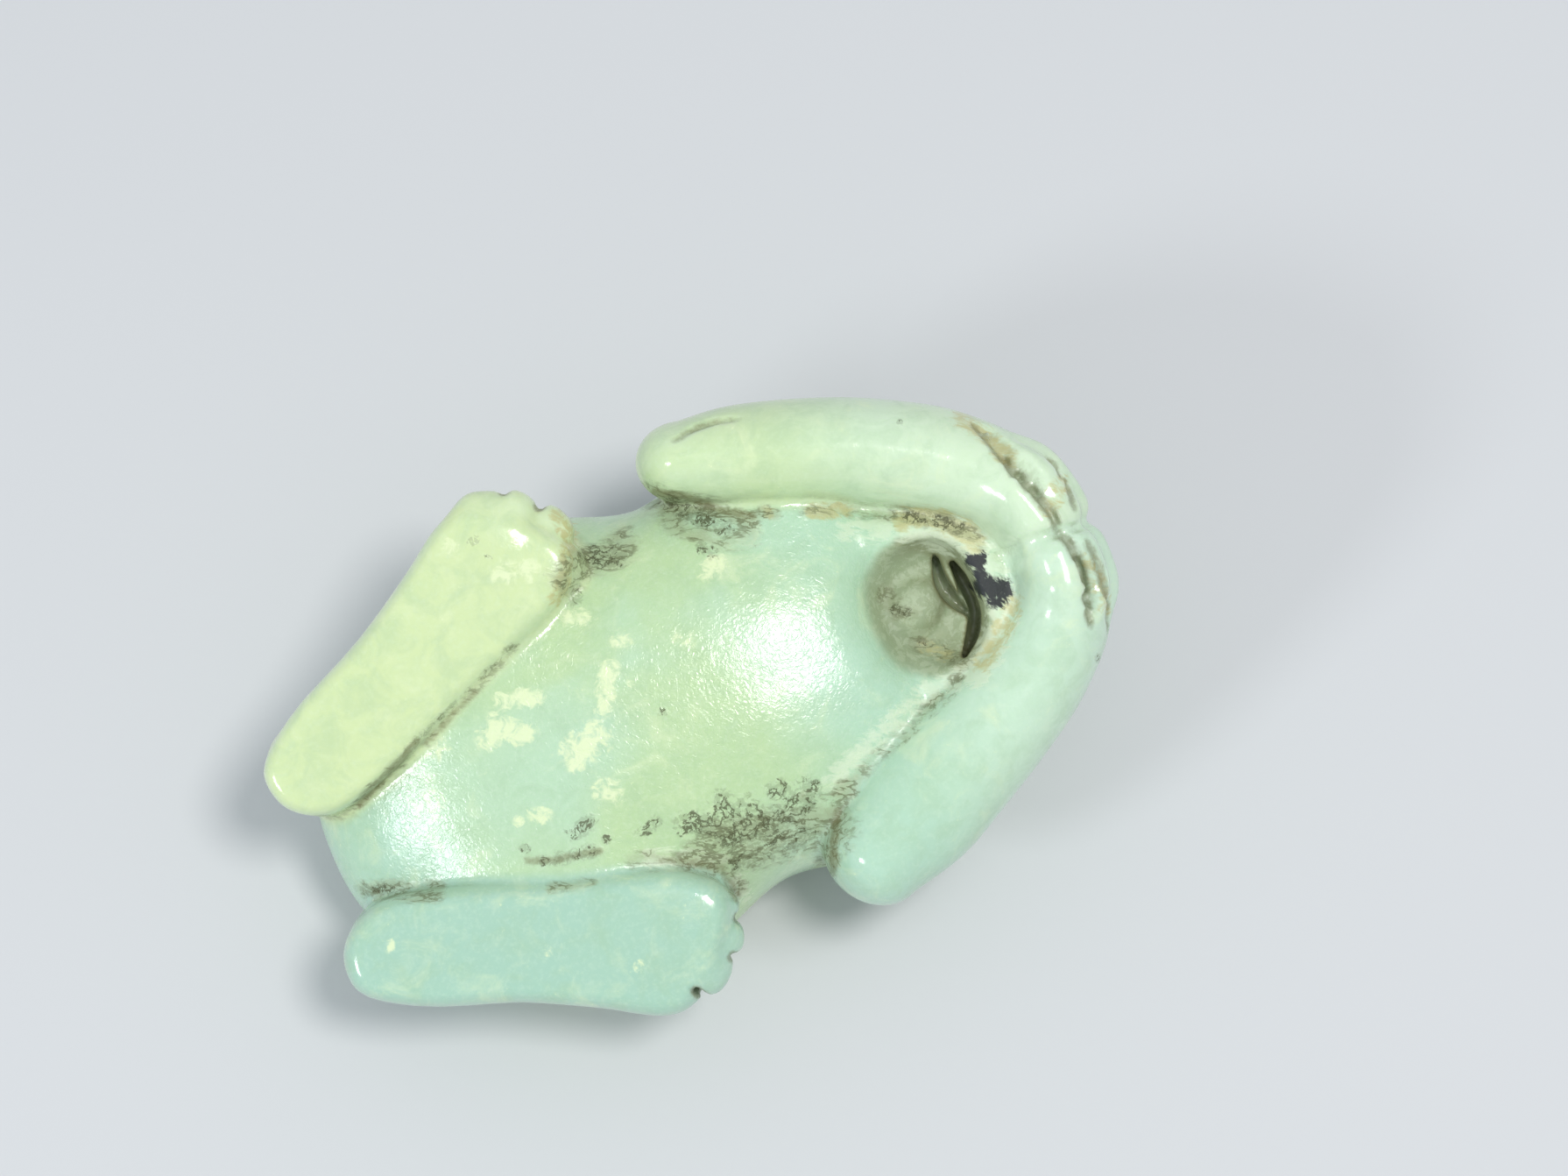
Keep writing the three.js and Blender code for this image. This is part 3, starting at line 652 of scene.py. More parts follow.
def sample(field, points):
    place = np.clip((points - GRID_LOW) / GRID_STEP, 0, np.array(field.shape) - 1.001)
    base = place.astype(int)
    rest = place - base
    total = np.zeros(len(points))
    for corner in range(8):
        pick = [(corner >> k) & 1 for k in range(3)]
        weight = np.prod([rest[:, k] if pick[k] else 1 - rest[:, k] for k in range(3)], axis=0)
        total += weight * field[base[:, 0] + pick[0], base[:, 1] + pick[1], base[:, 2] + pick[2]]
    return total


def smooth_step(low, high, value):
    share = np.clip((value - low) / (high - low), 0, 1)
    return share * share * (3 - 2 * share)


stretch = np.clip(-sample(animal, carved - outward * PROBE) / PROBE, 0.3, 1.3)


def hollow_at(step):
    return np.clip(1 - sample(animal, carved + outward * step) / step / stretch, 0, 1)


def thin_at(step):
    return np.clip(1 + sample(animal, carved - outward * step) / step / stretch, 0, 1)


def near(field, width):
    return 1 - smooth_step(0.0, width, sample(field, carved))


marks = {
    # hollow: the crease darkening, partly earth and partly painted shade
    "hollow": np.clip(0.7 * hollow_at(0.8) + 0.6 * hollow_at(2.2), 0, 1),
    "thin": smooth_step(0.1, 0.7, thin_at(3.0)),
    "pocket": near(pocket, 0.9),
    "slit": near(slits, 0.22),
    "line": np.maximum(0.75 * near(digit_lines, 0.32), 0.8 * near(toe_cuts, 0.2)),
}
left_foot, right_foot = near(feet["left"], 0.9), near(feet["right"], 0.9)
left_leg, right_leg = near(forelegs["left"], 0.9), near(forelegs["right"], 0.9)
marks["belly"] = 1 - np.clip(left_foot + right_foot + left_leg + right_leg, 0, 1)
towards_paws = smooth_step(9.0, 19.0, carved[:, 0])
cool_paws = 0.65 * smooth_step(2.0, 11.0, carved[:, 0])
cool_rump = 0.8 * smooth_step(-15.0, -22.0, carved[:, 0])
marks["warm"] = np.clip(left_foot + left_leg * (0.7 - 0.5 * towards_paws), 0, 1)
cool_ends = (cool_paws + cool_rump) * marks["belly"]
marks["cool"] = np.clip(right_foot + 0.8 * right_leg + cool_ends, 0, 1)
marks["pale"] = np.clip((left_leg + 0.7 * right_leg) * towards_paws, 0, 1)
# wall: painted shadow on the steep far wall of the pocket
upright = 1 - smooth_step(0.4, 0.85, outward[:, 2])
marks["wall"] = near(pocket, 0.6) * upright * smooth_step(14.6, 16.4, carved[:, 0])
marks["shade"] = 0.8 * right_foot
print("marks:", {name: round(float(values.mean()), 3) for name, values in marks.items()})

# %% [markdown]
# ### Earth, stains and clouds
# Some marks have no rule: they are where the stone and the earth put them. Each is a brush stroke
# in the carver's plan: its points, its width and its strength. Strokes fade out down the flanks.
# %% Brush strokes
FADE_OUT = 4.5


def stroke(points, width, strength):
    away = np.full(len(carved), np.inf)
    for a, b in zip(points, points[1:] or points):
        a, way = np.array(a), np.array(b) - np.array(a)
        share = np.clip((carved[:, :2] - a) @ way / max(way @ way, 1e-9), 0, 1)
        away = np.minimum(away, np.linalg.norm(carved[:, :2] - a - share[:, None] * way, axis=1))
    return strength * (1 - smooth_step(0.25 * width, width, away))


def brushed(strokes):
    upper = smooth_step(CARVED_SIDE, CARVED_SIDE + FADE_OUT, carved[:, 2])
    return np.max([stroke(*one) for one in strokes], axis=0) * upper


# %% Strokes of earth
marks["earth"] = brushed([
    ([(2.2, 13.2), (3.4, 12.2), (4.8, 11.4), (6.2, 10.2), (7.4, 9.2)], 1.1, 0.9),
    ([(3.0, 11.2), (4.4, 9.9), (5.8, 8.8), (7.0, 8.4)], 1.2, 0.6),
    ([(-4.6, 10.4), (-3.0, 10.8), (-1.8, 10.5), (-0.4, 10.9)], 1.5, 0.75),
    ([(8.4, 9.4), (9.1, 9.0)], 0.6, 1.0),
    ([(10.8, 8.6), (12.4, 7.9), (13.6, 7.3), (14.8, 6.6), (16.2, 5.9)], 0.6, 0.6),
    ([(16.2, 5.9), (17.6, 5.1), (18.9, 4.2), (19.9, 3.2), (20.4, 2.3)], 0.8, 0.45),
    ([(-2.8, -8.9), (-0.5, -9.4), (1.5, -9.7), (3.5, -9.9), (4.7, -10.4)], 2.4, 0.8),
    ([(3.1, -13.2), (3.8, -12.2), (4.5, -11.1), (5.3, -9.8), (6.6, -8.7)], 1.0, 0.9),
    ([(6.6, -8.7), (8.6, -7.8), (10.6, -7.1), (12.2, -6.5), (13.8, -5.9), (15.6, -5.2)], 0.7, 0.5),
    ([(-7.5, -7.7), (-4.8, -8.7), (-3.2, -9.6), (-2.3, -10.7), (-2.2, -12.0)], 0.9, 0.6),
    ([(-24.4, -2.8), (-23.0, -3.3), (-21.5, -3.8), (-19.6, -4.6)], 0.8, 0.8),
    ([(-12.8, -7.1), (-10.4, -7.7)], 0.5, 0.5),
    ([(-25.0, 2.6), (-23.8, 2.0), (-22.4, 2.3), (-21.0, 2.9), (-19.4, 3.5)], 0.4, 0.5),
    ([(-19.4, 3.5), (-16.4, 4.7), (-13.0, 5.9), (-11.2, 6.7), (-9.2, 7.6)], 0.5, 0.5),
    ([(13.6, 1.6), (14.0, 0.2), (14.6, -0.2)], 0.9, 0.6),
    ([(14.4, -2.2), (15.4, -3.0), (16.6, -4.0)], 1.0, 0.65),
])

# %% Thin dark lines and specks
marks["line"] = np.maximum(marks["line"], brushed([
    ([(-22.3, 2.2), (-21.2, 2.8), (-20.0, 3.3), (-18.4, 3.9), (-17.0, 4.6)], 0.34, 0.75),
    ([(-16.6, 4.2), (-15.4, 4.7), (-14.2, 5.3), (-12.4, 6.0)], 0.34, 0.6),
    ([(-13.6, -5.0), (-12.2, -5.6), (-10.6, -5.9), (-9.2, -6.2)], 0.4, 0.8),
    ([(2.6, 13.2), (4.2, 12.3), (5.4, 11.2), (6.6, 10.1), (7.8, 9.4)], 0.4, 0.8),
    ([(3.7, -13.2), (4.4, -11.6), (5.5, -9.7)], 0.45, 0.7),
    ([(-6.0, -8.3), (-4.0, -9.3), (-2.7, -10.3), (-2.5, -12.4)], 0.4, 0.6),
]))
marks["speck"] = brushed([
    ([(-3.6, -6.7), (-2.2, -7.5)], 1.0, 1.0), ([(-1.0, -6.2), (-0.7, -7.9)], 0.9, 1.0),
    ([(0.4, -7.0), (0.8, -8.3)], 0.8, 0.9), ([(2.2, -7.0), (2.8, -7.0)], 0.7, 0.8),
    ([(-1.8, -8.5), (2.6, -8.8), (4.2, -7.8)], 1.1, 0.85),
    ([(-1.6, -10.2), (3.2, -10.6)], 1.0, 0.5),
    ([(-10.3, -4.5), (-9.0, -4.3)], 0.6, 0.9), ([(-13.5, -4.2)], 0.45, 1.0),
    ([(-12.6, -5.5), (-9.6, -6.0)], 0.5, 0.8), ([(-6.4, -6.2), (-5.3, -5.9)], 0.45, 0.8),
    ([(-8.5, -5.7)], 0.35, 0.9), ([(-2.2, 0.3)], 0.28, 1.0),
    ([(-2.6, 11.0), (-1.0, 10.4)], 1.0, 0.8),
    ([(-4.8, 8.6), (-4.2, 9.2)], 0.5, 0.7), ([(3.4, 12.2), (4.6, 10.8), (5.8, 9.4)], 0.8, 0.9),
    ([(4.0, 8.9), (4.5, 8.2)], 0.45, 0.9), ([(16.8, 5.6), (18.4, 4.6), (19.6, 3.6)], 0.6, 0.8),
    ([(13.9, 0.5), (14.4, 0.0)], 0.5, 0.9), ([(14.6, -2.2)], 0.4, 0.8),
    ([(-8.9, 14.8), (-8.8, 14.7)], 0.3, 1.0), ([(-8.4, 13.4)], 0.25, 1.0),
    ([(18.6, 11.2)], 0.25, 1.0),
    ([(24.3, -7.3)], 0.35, 0.9), ([(-24.2, -2.9), (-22.6, -3.4)], 0.5, 0.8),
])

# %% Ochre, black and white
marks["ochre"] = brushed([
    ([(16.4, 5.6), (18.4, 4.7), (19.6, 3.5), (20.1, 2.3)], 1.0, 1.0),
    ([(20.7, -2.0), (19.9, -3.0), (18.8, -3.9), (17.4, -4.8)], 0.9, 0.6),
    ([(-5.6, 9.4), (-4.2, 10.8), (-3.3, 12.8), (-3.5, 14.2)], 0.7, 0.7),
    ([(22.2, 9.9), (23.2, 8.4), (23.9, 6.4)], 0.9, 0.7), ([(26.0, -1.4), (26.0, -4.4)], 0.8, 0.45),
    ([(24.9, 2.6), (26.4, 3.8)], 0.9, 0.45), ([(8.7, 9.2)], 0.6, 1.0),
    ([(11.4, 8.2), (13.4, 7.5)], 0.7, 0.95), ([(14.6, -2.4), (15.6, -3.4)], 0.7, 0.5),
])
marks["ink"] = brushed([
    ([(19.3, 1.4), (19.9, 1.3)], 0.65, 1.1), ([(19.7, 1.2), (19.5, 0.0)], 0.65, 1.1),
    ([(19.5, -0.3), (19.9, -0.7), (20.4, -0.9)], 1.1, 1.1),
    ([(19.6, -1.2), (20.1, -1.4)], 0.9, 0.9),
])
marks["cloud"] = brushed([
    ([(-13.0, 3.0), (-11.8, 3.1), (-10.8, 2.4)], 1.0, 1.0),
    ([(-12.2, 4.0), (-11.6, 3.0)], 0.6, 0.9),
    ([(-11.4, 4.9), (-10.0, 4.5), (-9.1, 4.1)], 0.7, 0.9), ([(-8.0, 0.0), (-6.9, 0.4)], 1.5, 1.0),
    ([(-5.5, 2.0), (-4.8, 3.2), (-4.2, 4.1)], 0.8, 0.75), ([(-5.3, 7.9), (-4.6, 7.7)], 0.7, 0.9),
    ([(-2.8, 5.4)], 0.9, 0.6), ([(-12.0, -2.5), (-11.5, -2.8)], 0.6, 0.75),
    ([(-13.2, -2.5)], 0.45, 0.75),
    ([(3.8, 7.3), (4.5, 7.5)], 0.9, 0.95), ([(-7.4, -2.9), (-6.8, -3.2)], 1.1, 0.55),
    ([(-16.2, 3.6)], 1.1, 0.55), ([(-23.4, -6.6)], 0.5, 0.6), ([(-10.3, 15.0)], 0.7, 0.6),
    ([(-9.6, -13.7)], 0.5, 0.6), ([(-14.5, -10.6)], 0.4, 0.6), ([(-3.3, 2.8)], 0.35, 0.8),
    ([(0.8, 4.0)], 1.0, 0.35), ([(-18.0, 0.5)], 1.4, 0.3), ([(-8.0, 12.2), (-6.4, 11.6)], 1.0, 0.5),
])
marks["chalk"] = brushed([
    ([(13.0, 6.0), (15.4, 5.4), (17.4, 4.2)], 1.3, 0.7),
    ([(17.4, 4.2), (19.6, 2.6), (20.4, 0.8), (20.4, -1.2), (19.6, -2.8), (18.2, -4.2),
      (16.6, -5.1)], 1.3, 1.0),
    ([(16.6, -5.1), (13.6, -5.2), (11.0, -5.9), (8.6, -6.9), (6.0, -8.0)], 1.1, 0.7),
    ([(-6.6, -7.9), (-4.4, -8.6), (-2.6, -9.8)], 0.8, 0.7),
    ([(-2.1, -11.0), (-2.2, -12.6)], 0.7, 0.7),
])
print("marks on the mesh:", len(marks))

# %% Painted shadow along the pocket's rim
RIM_LINE = [
    (15.6, 4.3), (16.5, 3.7), (17.4, 2.8), (18.4, 1.5),
    (18.9, -0.5), (18.4, -2.0), (17.1, -3.6), (16.1, -4.4),
]
marks["wall"] = np.maximum(marks["wall"], brushed([(RIM_LINE, 0.55, 0.9)]))

# %% Store the marks
for name, values in marks.items():
    layer = carving.data.attributes.new(name, "FLOAT", "POINT")
    layer.data.foreach_set("value", values.astype(np.float32))

# %% [markdown]
# ## The jade
# Jade is a dense, slightly see-into stone. Light goes in a millimetre or two and comes out
# softened, the polish gives a tight highlight, and the colour drifts between bluish and
# yellowish green.
# On top of that come the marks: white clouds inside, brown earth and painted shade in the creases,
# and black stain.
# %% Node helpers
FIRST_COLOUR, SECOND_COLOUR = 6, 7


def node(tree, kind, **values):
    made = tree.nodes.new(kind)
    for name, value in values.items():
        setattr(made, name, value)
    return made


def plug(tree, source, target):
    tree.links.new(source, target)


def read_mark(tree, name):
    return node(tree, "ShaderNodeAttribute", attribute_name=name).outputs["Fac"]


def noise(tree, where, scale, detail=3.0, roughness=0.55, distortion=0.0):
    made = node(tree, "ShaderNodeTexNoise")
    plug(tree, where, made.inputs["Vector"])
    made.inputs["Scale"].default_value = scale
    made.inputs["Detail"].default_value = detail
    made.inputs["Roughness"].default_value = roughness
    made.inputs["Distortion"].default_value = distortion
    return made.outputs["Fac"]


def ramp(tree, value, low, high, start=0.0, end=1.0):
    made = node(tree, "ShaderNodeMapRange", interpolation_type="SMOOTHSTEP")
    plug(tree, value, made.inputs["Value"])
    for name, number in (("From Min", low), ("From Max", high), ("To Min", start), ("To Max", end)):
        made.inputs[name].default_value = number
    return made.outputs["Result"]


def math_of(tree, operation, first, second):
    made = node(tree, "ShaderNodeMath", operation=operation)
    for socket, value in zip(made.inputs, (first, second)):
        if isinstance(value, (int, float)):
            socket.default_value = value
        else:
            plug(tree, value, socket)
    return made.outputs[0]


def tint(tree, under, share, colour):
    made = node(tree, "ShaderNodeMix", data_type="RGBA")
    plug(tree, share, made.inputs["Factor"])
    plug(tree, under, made.inputs[FIRST_COLOUR])
    made.inputs[SECOND_COLOUR].default_value = (*colour, 1)
    return made.outputs[2]


def times(tree, first, second):
    return math_of(tree, "MULTIPLY", first, second)


def plus(tree, first, second):
    return math_of(tree, "ADD", first, second)


def stronger(tree, first, second):
    return math_of(tree, "MAXIMUM", first, second)


def marked(tree, under, mark, strength, colour):
    return tint(tree, under, times(tree, read_mark(tree, mark), strength), colour)


# %% [markdown]
# ### Broken marks
# A mark alone has a soft, even edge, and real dirt doesn't. This group eats into a mark with
# noise: the edge frays, and small islands of clean stone are left inside it.
# %% A group that frays a mark
def frayed_mark_group():
    group = bpy.data.node_groups.new("Frayed mark", "ShaderNodeTree")
    group.interface.new_socket("Where", in_out="INPUT", socket_type="NodeSocketVector")
    for name, value in (("Mark", 0.0), ("Grain", 900.0), ("Fray", 0.6), ("Sharpness", 0.3)):
        made = group.interface.new_socket(name, in_out="INPUT", socket_type="NodeSocketFloat")
        made.default_value = value
    group.interface.new_socket("Mark", in_out="OUTPUT", socket_type="NodeSocketFloat")
    inside = node(group, "NodeGroupInput")
    out = node(group, "NodeGroupOutput")
    grain = node(group, "ShaderNodeTexNoise")
    grain.inputs["Detail"].default_value = 5.0
    grain.inputs["Roughness"].default_value = 0.66
    grain.inputs["Distortion"].default_value = 0.7
    plug(group, inside.outputs["Where"], grain.inputs["Vector"])
    plug(group, inside.outputs["Grain"], grain.inputs["Scale"])
    centred = math_of(group, "SUBTRACT", grain.outputs["Fac"], 0.5)
    eaten = times(group, times(group, centred, inside.outputs["Fray"]), 5.0)
    level = plus(group, inside.outputs["Mark"], eaten)
    made = node(group, "ShaderNodeMapRange", interpolation_type="SMOOTHSTEP")
    plug(group, level, made.inputs["Value"])
    sharpness = inside.outputs["Sharpness"]
    plug(group, math_of(group, "SUBTRACT", 0.5, sharpness), made.inputs["From Min"])
    plug(group, plus(group, 0.5, sharpness), made.inputs["From Max"])
    present = ramp(group, inside.outputs["Mark"], 0.0, 0.15)
    plug(group, times(group, made.outputs["Result"], present), out.inputs["Mark"])
    return group


FRAYED = frayed_mark_group()


def frayed(tree, where, name, grain, fray, sharpness):
    made = node(tree, "ShaderNodeGroup", node_tree=FRAYED)
    plug(tree, where, made.inputs["Where"])
    plug(tree, read_mark(tree, name), made.inputs["Mark"])
    made.inputs["Grain"].default_value = grain
    made.inputs["Fray"].default_value = fray
    made.inputs["Sharpness"].default_value = sharpness
    return made.outputs["Mark"]


print("group:", FRAYED.name)

# %% [markdown]
# ### The stone itself
# The colours are layered from the inside out: the drift from yellow to green, the warmth and
# coolness of the limbs, thin edges painted lighter as a painted glow of light shining through,
# a faint veil, flecks and clouds.
# %% Colours of the stone and of what lies on it
JADE_YELLOW = (0.49, 0.65, 0.35)
JADE_GREEN = (0.49, 0.69, 0.50)
JADE_WARM = (0.65, 0.76, 0.41)
JADE_COOL = (0.44, 0.67, 0.54)
JADE_PALE = (0.72, 0.86, 0.68)
JADE_SMOKE = (0.37, 0.54, 0.33)
JADE_SHADE = (0.28, 0.48, 0.38)
CLOUD_WHITE = (0.78, 0.86, 0.55)
CHALK = (0.70, 0.78, 0.58)
EARTH = (0.10, 0.105, 0.03)
# Pale earth, also used as the painted shade of the creases
EARTH_AND_CREASE_SHADE = (0.31, 0.35, 0.20)
OCHRE = (0.54, 0.50, 0.22)
LINE_BROWN = (0.15, 0.13, 0.04)
SPECK_BROWN = (0.06, 0.065, 0.015)
# Painted shade for the pocket, its steep wall and its slits
POCKET_SHADE = (0.26, 0.29, 0.15)
RECESS_SHADE = (0.20, 0.19, 0.08)
INK_BLACK = (0.01, 0.014, 0.016)


# %% The colour of the jade
def jade_colour(tree, where):
    drift = noise(tree, where, 75.0, 3.0, 0.5, 0.6)
    veil = noise(tree, where, 330.0, 5.0, 0.65, 1.0)
    base = node(tree, "ShaderNodeMix", data_type="RGBA")
    plug(tree, ramp(tree, drift, 0.36, 0.66, 0.1, 0.9), base.inputs["Factor"])
    base.inputs[FIRST_COLOUR].default_value = (*JADE_YELLOW, 1)
    base.inputs[SECOND_COLOUR].default_value = (*JADE_GREEN, 1)
    colour = base.outputs[2]
    # thin: a painted glow where light shines through thin stone
    for mark, strength, tone in (
        ("warm", 0.9, JADE_WARM), ("cool", 0.9, JADE_COOL), ("thin", 0.3, JADE_PALE),
        ("pale", 0.6, JADE_PALE), ("shade", 0.45, JADE_SHADE),
    ):
        colour = marked(tree, colour, mark, strength, tone)
    smoke = noise(tree, where, 480.0, 5.0, 0.62, 0.8)
    grain = noise(tree, where, 3000.0, 3.0, 0.7)
    colour = tint(tree, colour, ramp(tree, smoke, 0.4, 0.7, 0.0, 0.3), JADE_SMOKE)
    colour = tint(tree, colour, ramp(tree, grain, 0.45, 0.7, 0.0, 0.14), JADE_PALE)
    colour = tint(tree, colour, ramp(tree, veil, 0.5, 0.78, 0.0, 0.4), CLOUD_WHITE)
    flecks = ramp(tree, noise(tree, where, 1900.0, 4.0, 0.7), 0.64, 0.72, 0.0, 0.5)
    colour = tint(tree, colour, times(tree, flecks, ramp(tree, veil, 0.42, 0.6)), CLOUD_WHITE)
    clouds = frayed(tree, where, "cloud", 1300.0, 1.0, 0.6)
    colour = tint(tree, colour, times(tree, clouds, 0.85), CLOUD_WHITE)
    return colour


# %% [markdown]
# Dirt and painted shade are laid in layers: a mottled wash in the creases that is partly earth and
# partly painted shade, painted shade in the pocket, on its steep wall and in its slits, chalky wear
# and ochre beside them, then earth, fine dark veins and specks, and the black blotch. Along the
# arms it was brushed in one direction, so its grain is drawn out along them.
# %% The dirt and painted shade on the jade
def drawn_out(tree, where, turn, share):
    made = node(tree, "ShaderNodeMapping", vector_type="TEXTURE")
    plug(tree, where, made.inputs["Vector"])
    made.inputs["Rotation"].default_value = (0, 0, math.radians(turn))
    made.inputs["Scale"].default_value = (share, 1, 1)
    return made.outputs["Vector"]


def fine_veins(tree, where, scale, width):
    height = noise(tree, where, scale, 4.0, 0.62, 0.35)
    off = math_of(tree, "ABSOLUTE", math_of(tree, "SUBTRACT", height, 0.5), 0.0)
    return ramp(tree, off, 0.4 * width, width, 1.0, 0.0)


def dirt_and_shade_over(tree, where, colour):
    streaks = drawn_out(tree, where, -32.0, 2.6)
    mottle = ramp(tree, noise(tree, where, 1500.0, 4.0, 0.65, 0.8), 0.4, 0.6)
    # A mottled wash in the creases: partly earth, partly painted crease shade.
    crease_shade_and_earth = times(tree, ramp(tree, read_mark(tree, "hollow"), 0.25, 0.9, 0.0, 0.8), mottle)
    colour = tint(tree, colour, times(tree, crease_shade_and_earth, 0.45), EARTH_AND_CREASE_SHADE)
    # Painted shade inside the pocket.
    sunk = ramp(tree, read_mark(tree, "pocket"), 0.1, 1.0, 0.0, 0.75)
    colour = tint(tree, colour, sunk, POCKET_SHADE)
    dusty = times(tree, read_mark(tree, "pocket"), ramp(tree, mottle, 0.3, 1.0, 0.0, 0.2))
    colour = tint(tree, colour, dusty, CHALK)
    # Painted shadow on the steep wall of the pocket.
    colour = marked(tree, colour, "wall", 0.45, RECESS_SHADE)
    chalk = frayed(tree, streaks, "chalk", 1700.0, 0.8, 0.4)
    colour = tint(tree, colour, times(tree, chalk, 0.55), CHALK)
    ochre = frayed(tree, streaks, "ochre", 1900.0, 0.7, 0.45)
    colour = tint(tree, colour, times(tree, ochre, 0.75), OCHRE)
    earth = frayed(tree, streaks, "earth", 850.0, 0.55, 0.6)
    colour = tint(tree, colour, times(tree, earth, 0.54), EARTH_AND_CREASE_SHADE)
    dried = times(tree, fine_veins(tree, streaks, 1100.0, 0.05), earth)
    colour = tint(tree, colour, times(tree, dried, 0.7), EARTH)
    line = frayed(tree, where, "line", 1800.0, 0.25, 0.45)
    colour = tint(tree, colour, times(tree, line, 0.6), LINE_BROWN)
    patches = frayed(tree, where, "speck", 800.0, 0.8, 0.3)
    crumbs = frayed(tree, where, "speck", 2400.0, 2.2, 0.15)
    branches = times(tree, fine_veins(tree, where, 1250.0, 0.055), patches)
    specks = stronger(tree, branches, times(tree, crumbs, 0.3))
    colour = tint(tree, colour, times(tree, specks, 0.85), SPECK_BROWN)
    # Painted shade in the two deep slits.
    colour = marked(tree, colour, "slit", 0.66, RECESS_SHADE)
    brushed_way = drawn_out(tree, where, -65.0, 3.0)
    ink = frayed(tree, brushed_way, "ink", 3000.0, 0.6, 0.3)
    colour = tint(tree, colour, ink, INK_BLACK)
    dirt = stronger(tree, stronger(tree, earth, line), stronger(tree, specks, ink))
    dirt = stronger(tree, dirt, times(tree, chalk, 0.6))
    return colour, stronger(tree, dirt, read_mark(tree, "pocket"))


# %% [markdown]
# ### The polish
# The belly is finely uneven, like peel, which breaks its highlight up. The limbs are smoother.
# Dirt stands a little proud of the polish and is dull.
# %% The polish
RELIEF_DEPTH = 0.00005
LIMB_ROUGHNESS, BELLY_ROUGHNESS, DIRT_ROUGHNESS = 0.16, 0.23, 0.4


def jade_relief(tree, where, dirt):
    peel = noise(tree, where, 2300.0, 2.0, 0.5, 1.6)
    amount = ramp(tree, read_mark(tree, "belly"), 0.0, 1.0, 0.25, 1.0)
    swell = noise(tree, where, 420.0, 2.0, 0.5)
    height = plus(tree, times(tree, peel, amount), times(tree, swell, 1.6))
    crumb = noise(tree, where, 5200.0, 3.0, 0.6)
    height = plus(tree, height, times(tree, times(tree, crumb, dirt), 0.9))
    bump = node(tree, "ShaderNodeBump")
    bump.inputs["Strength"].default_value = 0.6
    bump.inputs["Distance"].default_value = RELIEF_DEPTH
    plug(tree, height, bump.inputs["Height"])
    return bump.outputs["Normal"]


# %% The jade material
LIGHT_SHARE, LIGHT_DEPTH, LIGHT_DEPTH_BY_COLOUR = 0.3, 0.0014, (1.0, 1.1, 0.85)
JADE_IOR = 1.61


def jade_material():
    material = bpy.data.materials.new("polished_jade")
    material.use_nodes = True
    tree = material.node_tree
    shader = tree.nodes["Principled BSDF"]
    where = node(tree, "ShaderNodeTexCoord").outputs["Object"]
    colour, dirt = dirt_and_shade_over(tree, where, jade_colour(tree, where))
    plug(tree, colour, shader.inputs["Base Color"])
    worn = ramp(tree, read_mark(tree, "belly"), 0.0, 1.0, LIMB_ROUGHNESS, BELLY_ROUGHNESS)
    roughness = plus(tree, worn, times(tree, dirt, DIRT_ROUGHNESS))
    plug(tree, roughness, shader.inputs["Roughness"])
    plug(tree, jade_relief(tree, where, dirt), shader.inputs["Normal"])
    shader.inputs["Subsurface Weight"].default_value = LIGHT_SHARE
    shader.inputs["Subsurface Radius"].default_value = LIGHT_DEPTH_BY_COLOUR
    shader.inputs["Subsurface Scale"].default_value = LIGHT_DEPTH
    shader.inputs["IOR"].default_value = JADE_IOR
    return material


carving.data.materials.append(jade_material())
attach(carving, "root")
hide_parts(NODE)
print("material slots:", [m.name for m in carving.data.materials])

# %% [markdown]
# ## Table, light and camera
# The photograph looks straight down at the soles of the leaning carving. Its highlights tell where
# the lights are: one near the camera towards the paws, and one lower, beyond the rump.
# %% The table
TABLE_REACH, TABLE_COLOUR, TABLE_ROUGHNESS = 2.0, (0.62, 0.63, 0.64), 0.85


def flat_floor(reach, height):
    plan = ((-reach, -reach), (reach, -reach), (reach, reach), (-reach, reach))
    corners = [(x, y, height) for x, y in plan]
    floor = mesh_object("pale_table", corners, [(0, 1, 2, 3)])
    material = bpy.data.materials.new("pale_paper")
    material.use_nodes = True
    shader = material.node_tree.nodes["Principled BSDF"]
    shader.inputs["Base Color"].default_value = (*TABLE_COLOUR, 1)
    shader.inputs["Roughness"].default_value = TABLE_ROUGHNESS
    floor.data.materials.append(material)
    return floor


flat_floor(TABLE_REACH, 0.0)

# %% The camera
CAMERA_AZIMUTH = -22.9
CAMERA_ELEVATION = 70.0
CAMERA_DISTANCE = 0.25
PHOTO_WIDTH, PIXELS_PER_MM = 1790, 17.75
SENSOR_WIDTH = 36.0
AIM = Vector((7.9, 5.6, 14.0)) * MM


def view_axes(azimuth, elevation):
    a, e = math.radians(azimuth), math.radians(elevation)
    right = Vector((math.cos(a), math.sin(a), 0))
    toward = Vector((math.sin(a) * math.cos(e), -math.cos(a) * math.cos(e), math.sin(e)))
    return right, toward.cross(right), toward


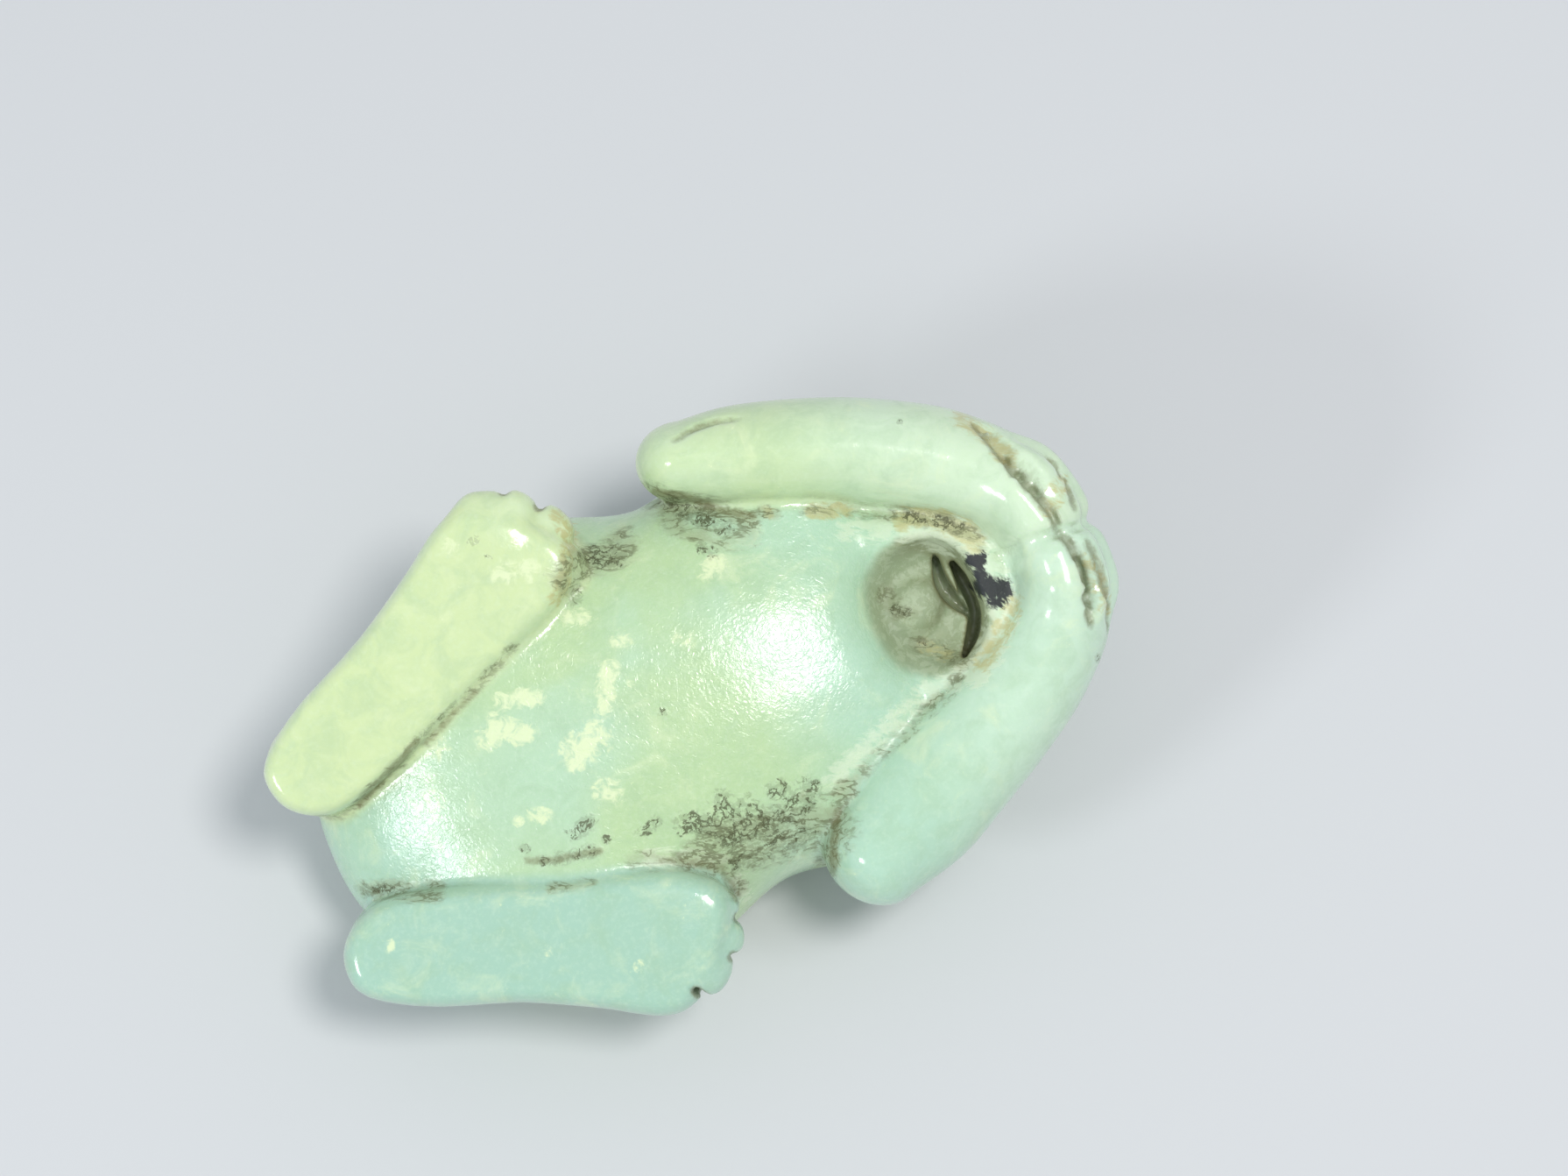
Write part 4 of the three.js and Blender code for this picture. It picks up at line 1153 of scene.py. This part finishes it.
def placed(name, data, place, right, up, toward):
    thing = bpy.data.objects.new(name, data)
    bpy.context.scene.collection.objects.link(thing)
    turn = Matrix((right, up, toward)).transposed()
    thing.matrix_world = Matrix.Translation(place) @ turn.to_4x4()
    return thing


RIGHT, UP, TOWARD = view_axes(CAMERA_AZIMUTH, CAMERA_ELEVATION)
lens = bpy.data.cameras.new("camera")
lens.sensor_width = SENSOR_WIDTH
lens.lens = SENSOR_WIDTH * CAMERA_DISTANCE / (PHOTO_WIDTH / PIXELS_PER_MM * MM)
lens.clip_start = 0.01
camera = placed("camera", lens, AIM + TOWARD * CAMERA_DISTANCE, RIGHT, UP, TOWARD)
bpy.context.scene.camera = camera
print("lens in mm:", round(lens.lens, 1))

# %% The lights
def soft_light(name, aim, heading, distance, size, power, colour):
    toward = heading.normalized()
    right = Vector((0, 0, 1)).cross(toward).normalized()
    lamp = bpy.data.lights.new(name, "AREA")
    lamp.shape = "DISK"
    lamp.size = size
    lamp.energy = power
    lamp.color = colour
    return placed(name, lamp, aim + toward * distance, right, toward.cross(right), toward)


LIGHT_DISTANCE = 0.45
SOFT_LIGHTS = [
    ("key_light", (0.30, 0.06, 0.95), 0.11, 1.0, (1.0, 0.99, 0.96)),
    ("rump_light", (-0.72, 0.0, 0.69), 0.09, 0.5, (0.92, 0.97, 1.0)),
]
for name, heading, size, power, colour in SOFT_LIGHTS:
    soft_light(name, AIM, lean @ Vector(heading), LIGHT_DISTANCE, size, power, colour)
print("lights:", len(SOFT_LIGHTS))

# %% The light of the room
ROOM_COLOUR, ROOM_STRENGTH = (0.88, 0.93, 1.0), 0.63
world = bpy.data.worlds.new("soft_room")
world.use_nodes = True
background = world.node_tree.nodes["Background"]
background.inputs["Color"].default_value = (*ROOM_COLOUR, 1)
background.inputs["Strength"].default_value = ROOM_STRENGTH
bpy.context.scene.world = world

# %% [markdown]
# The picture's colours are shown as they are, without the usual film-like curve, because the pale
# greens of jade would turn grey in it.
# %% The picture's colours
bpy.context.scene.view_settings.view_transform = "Standard"
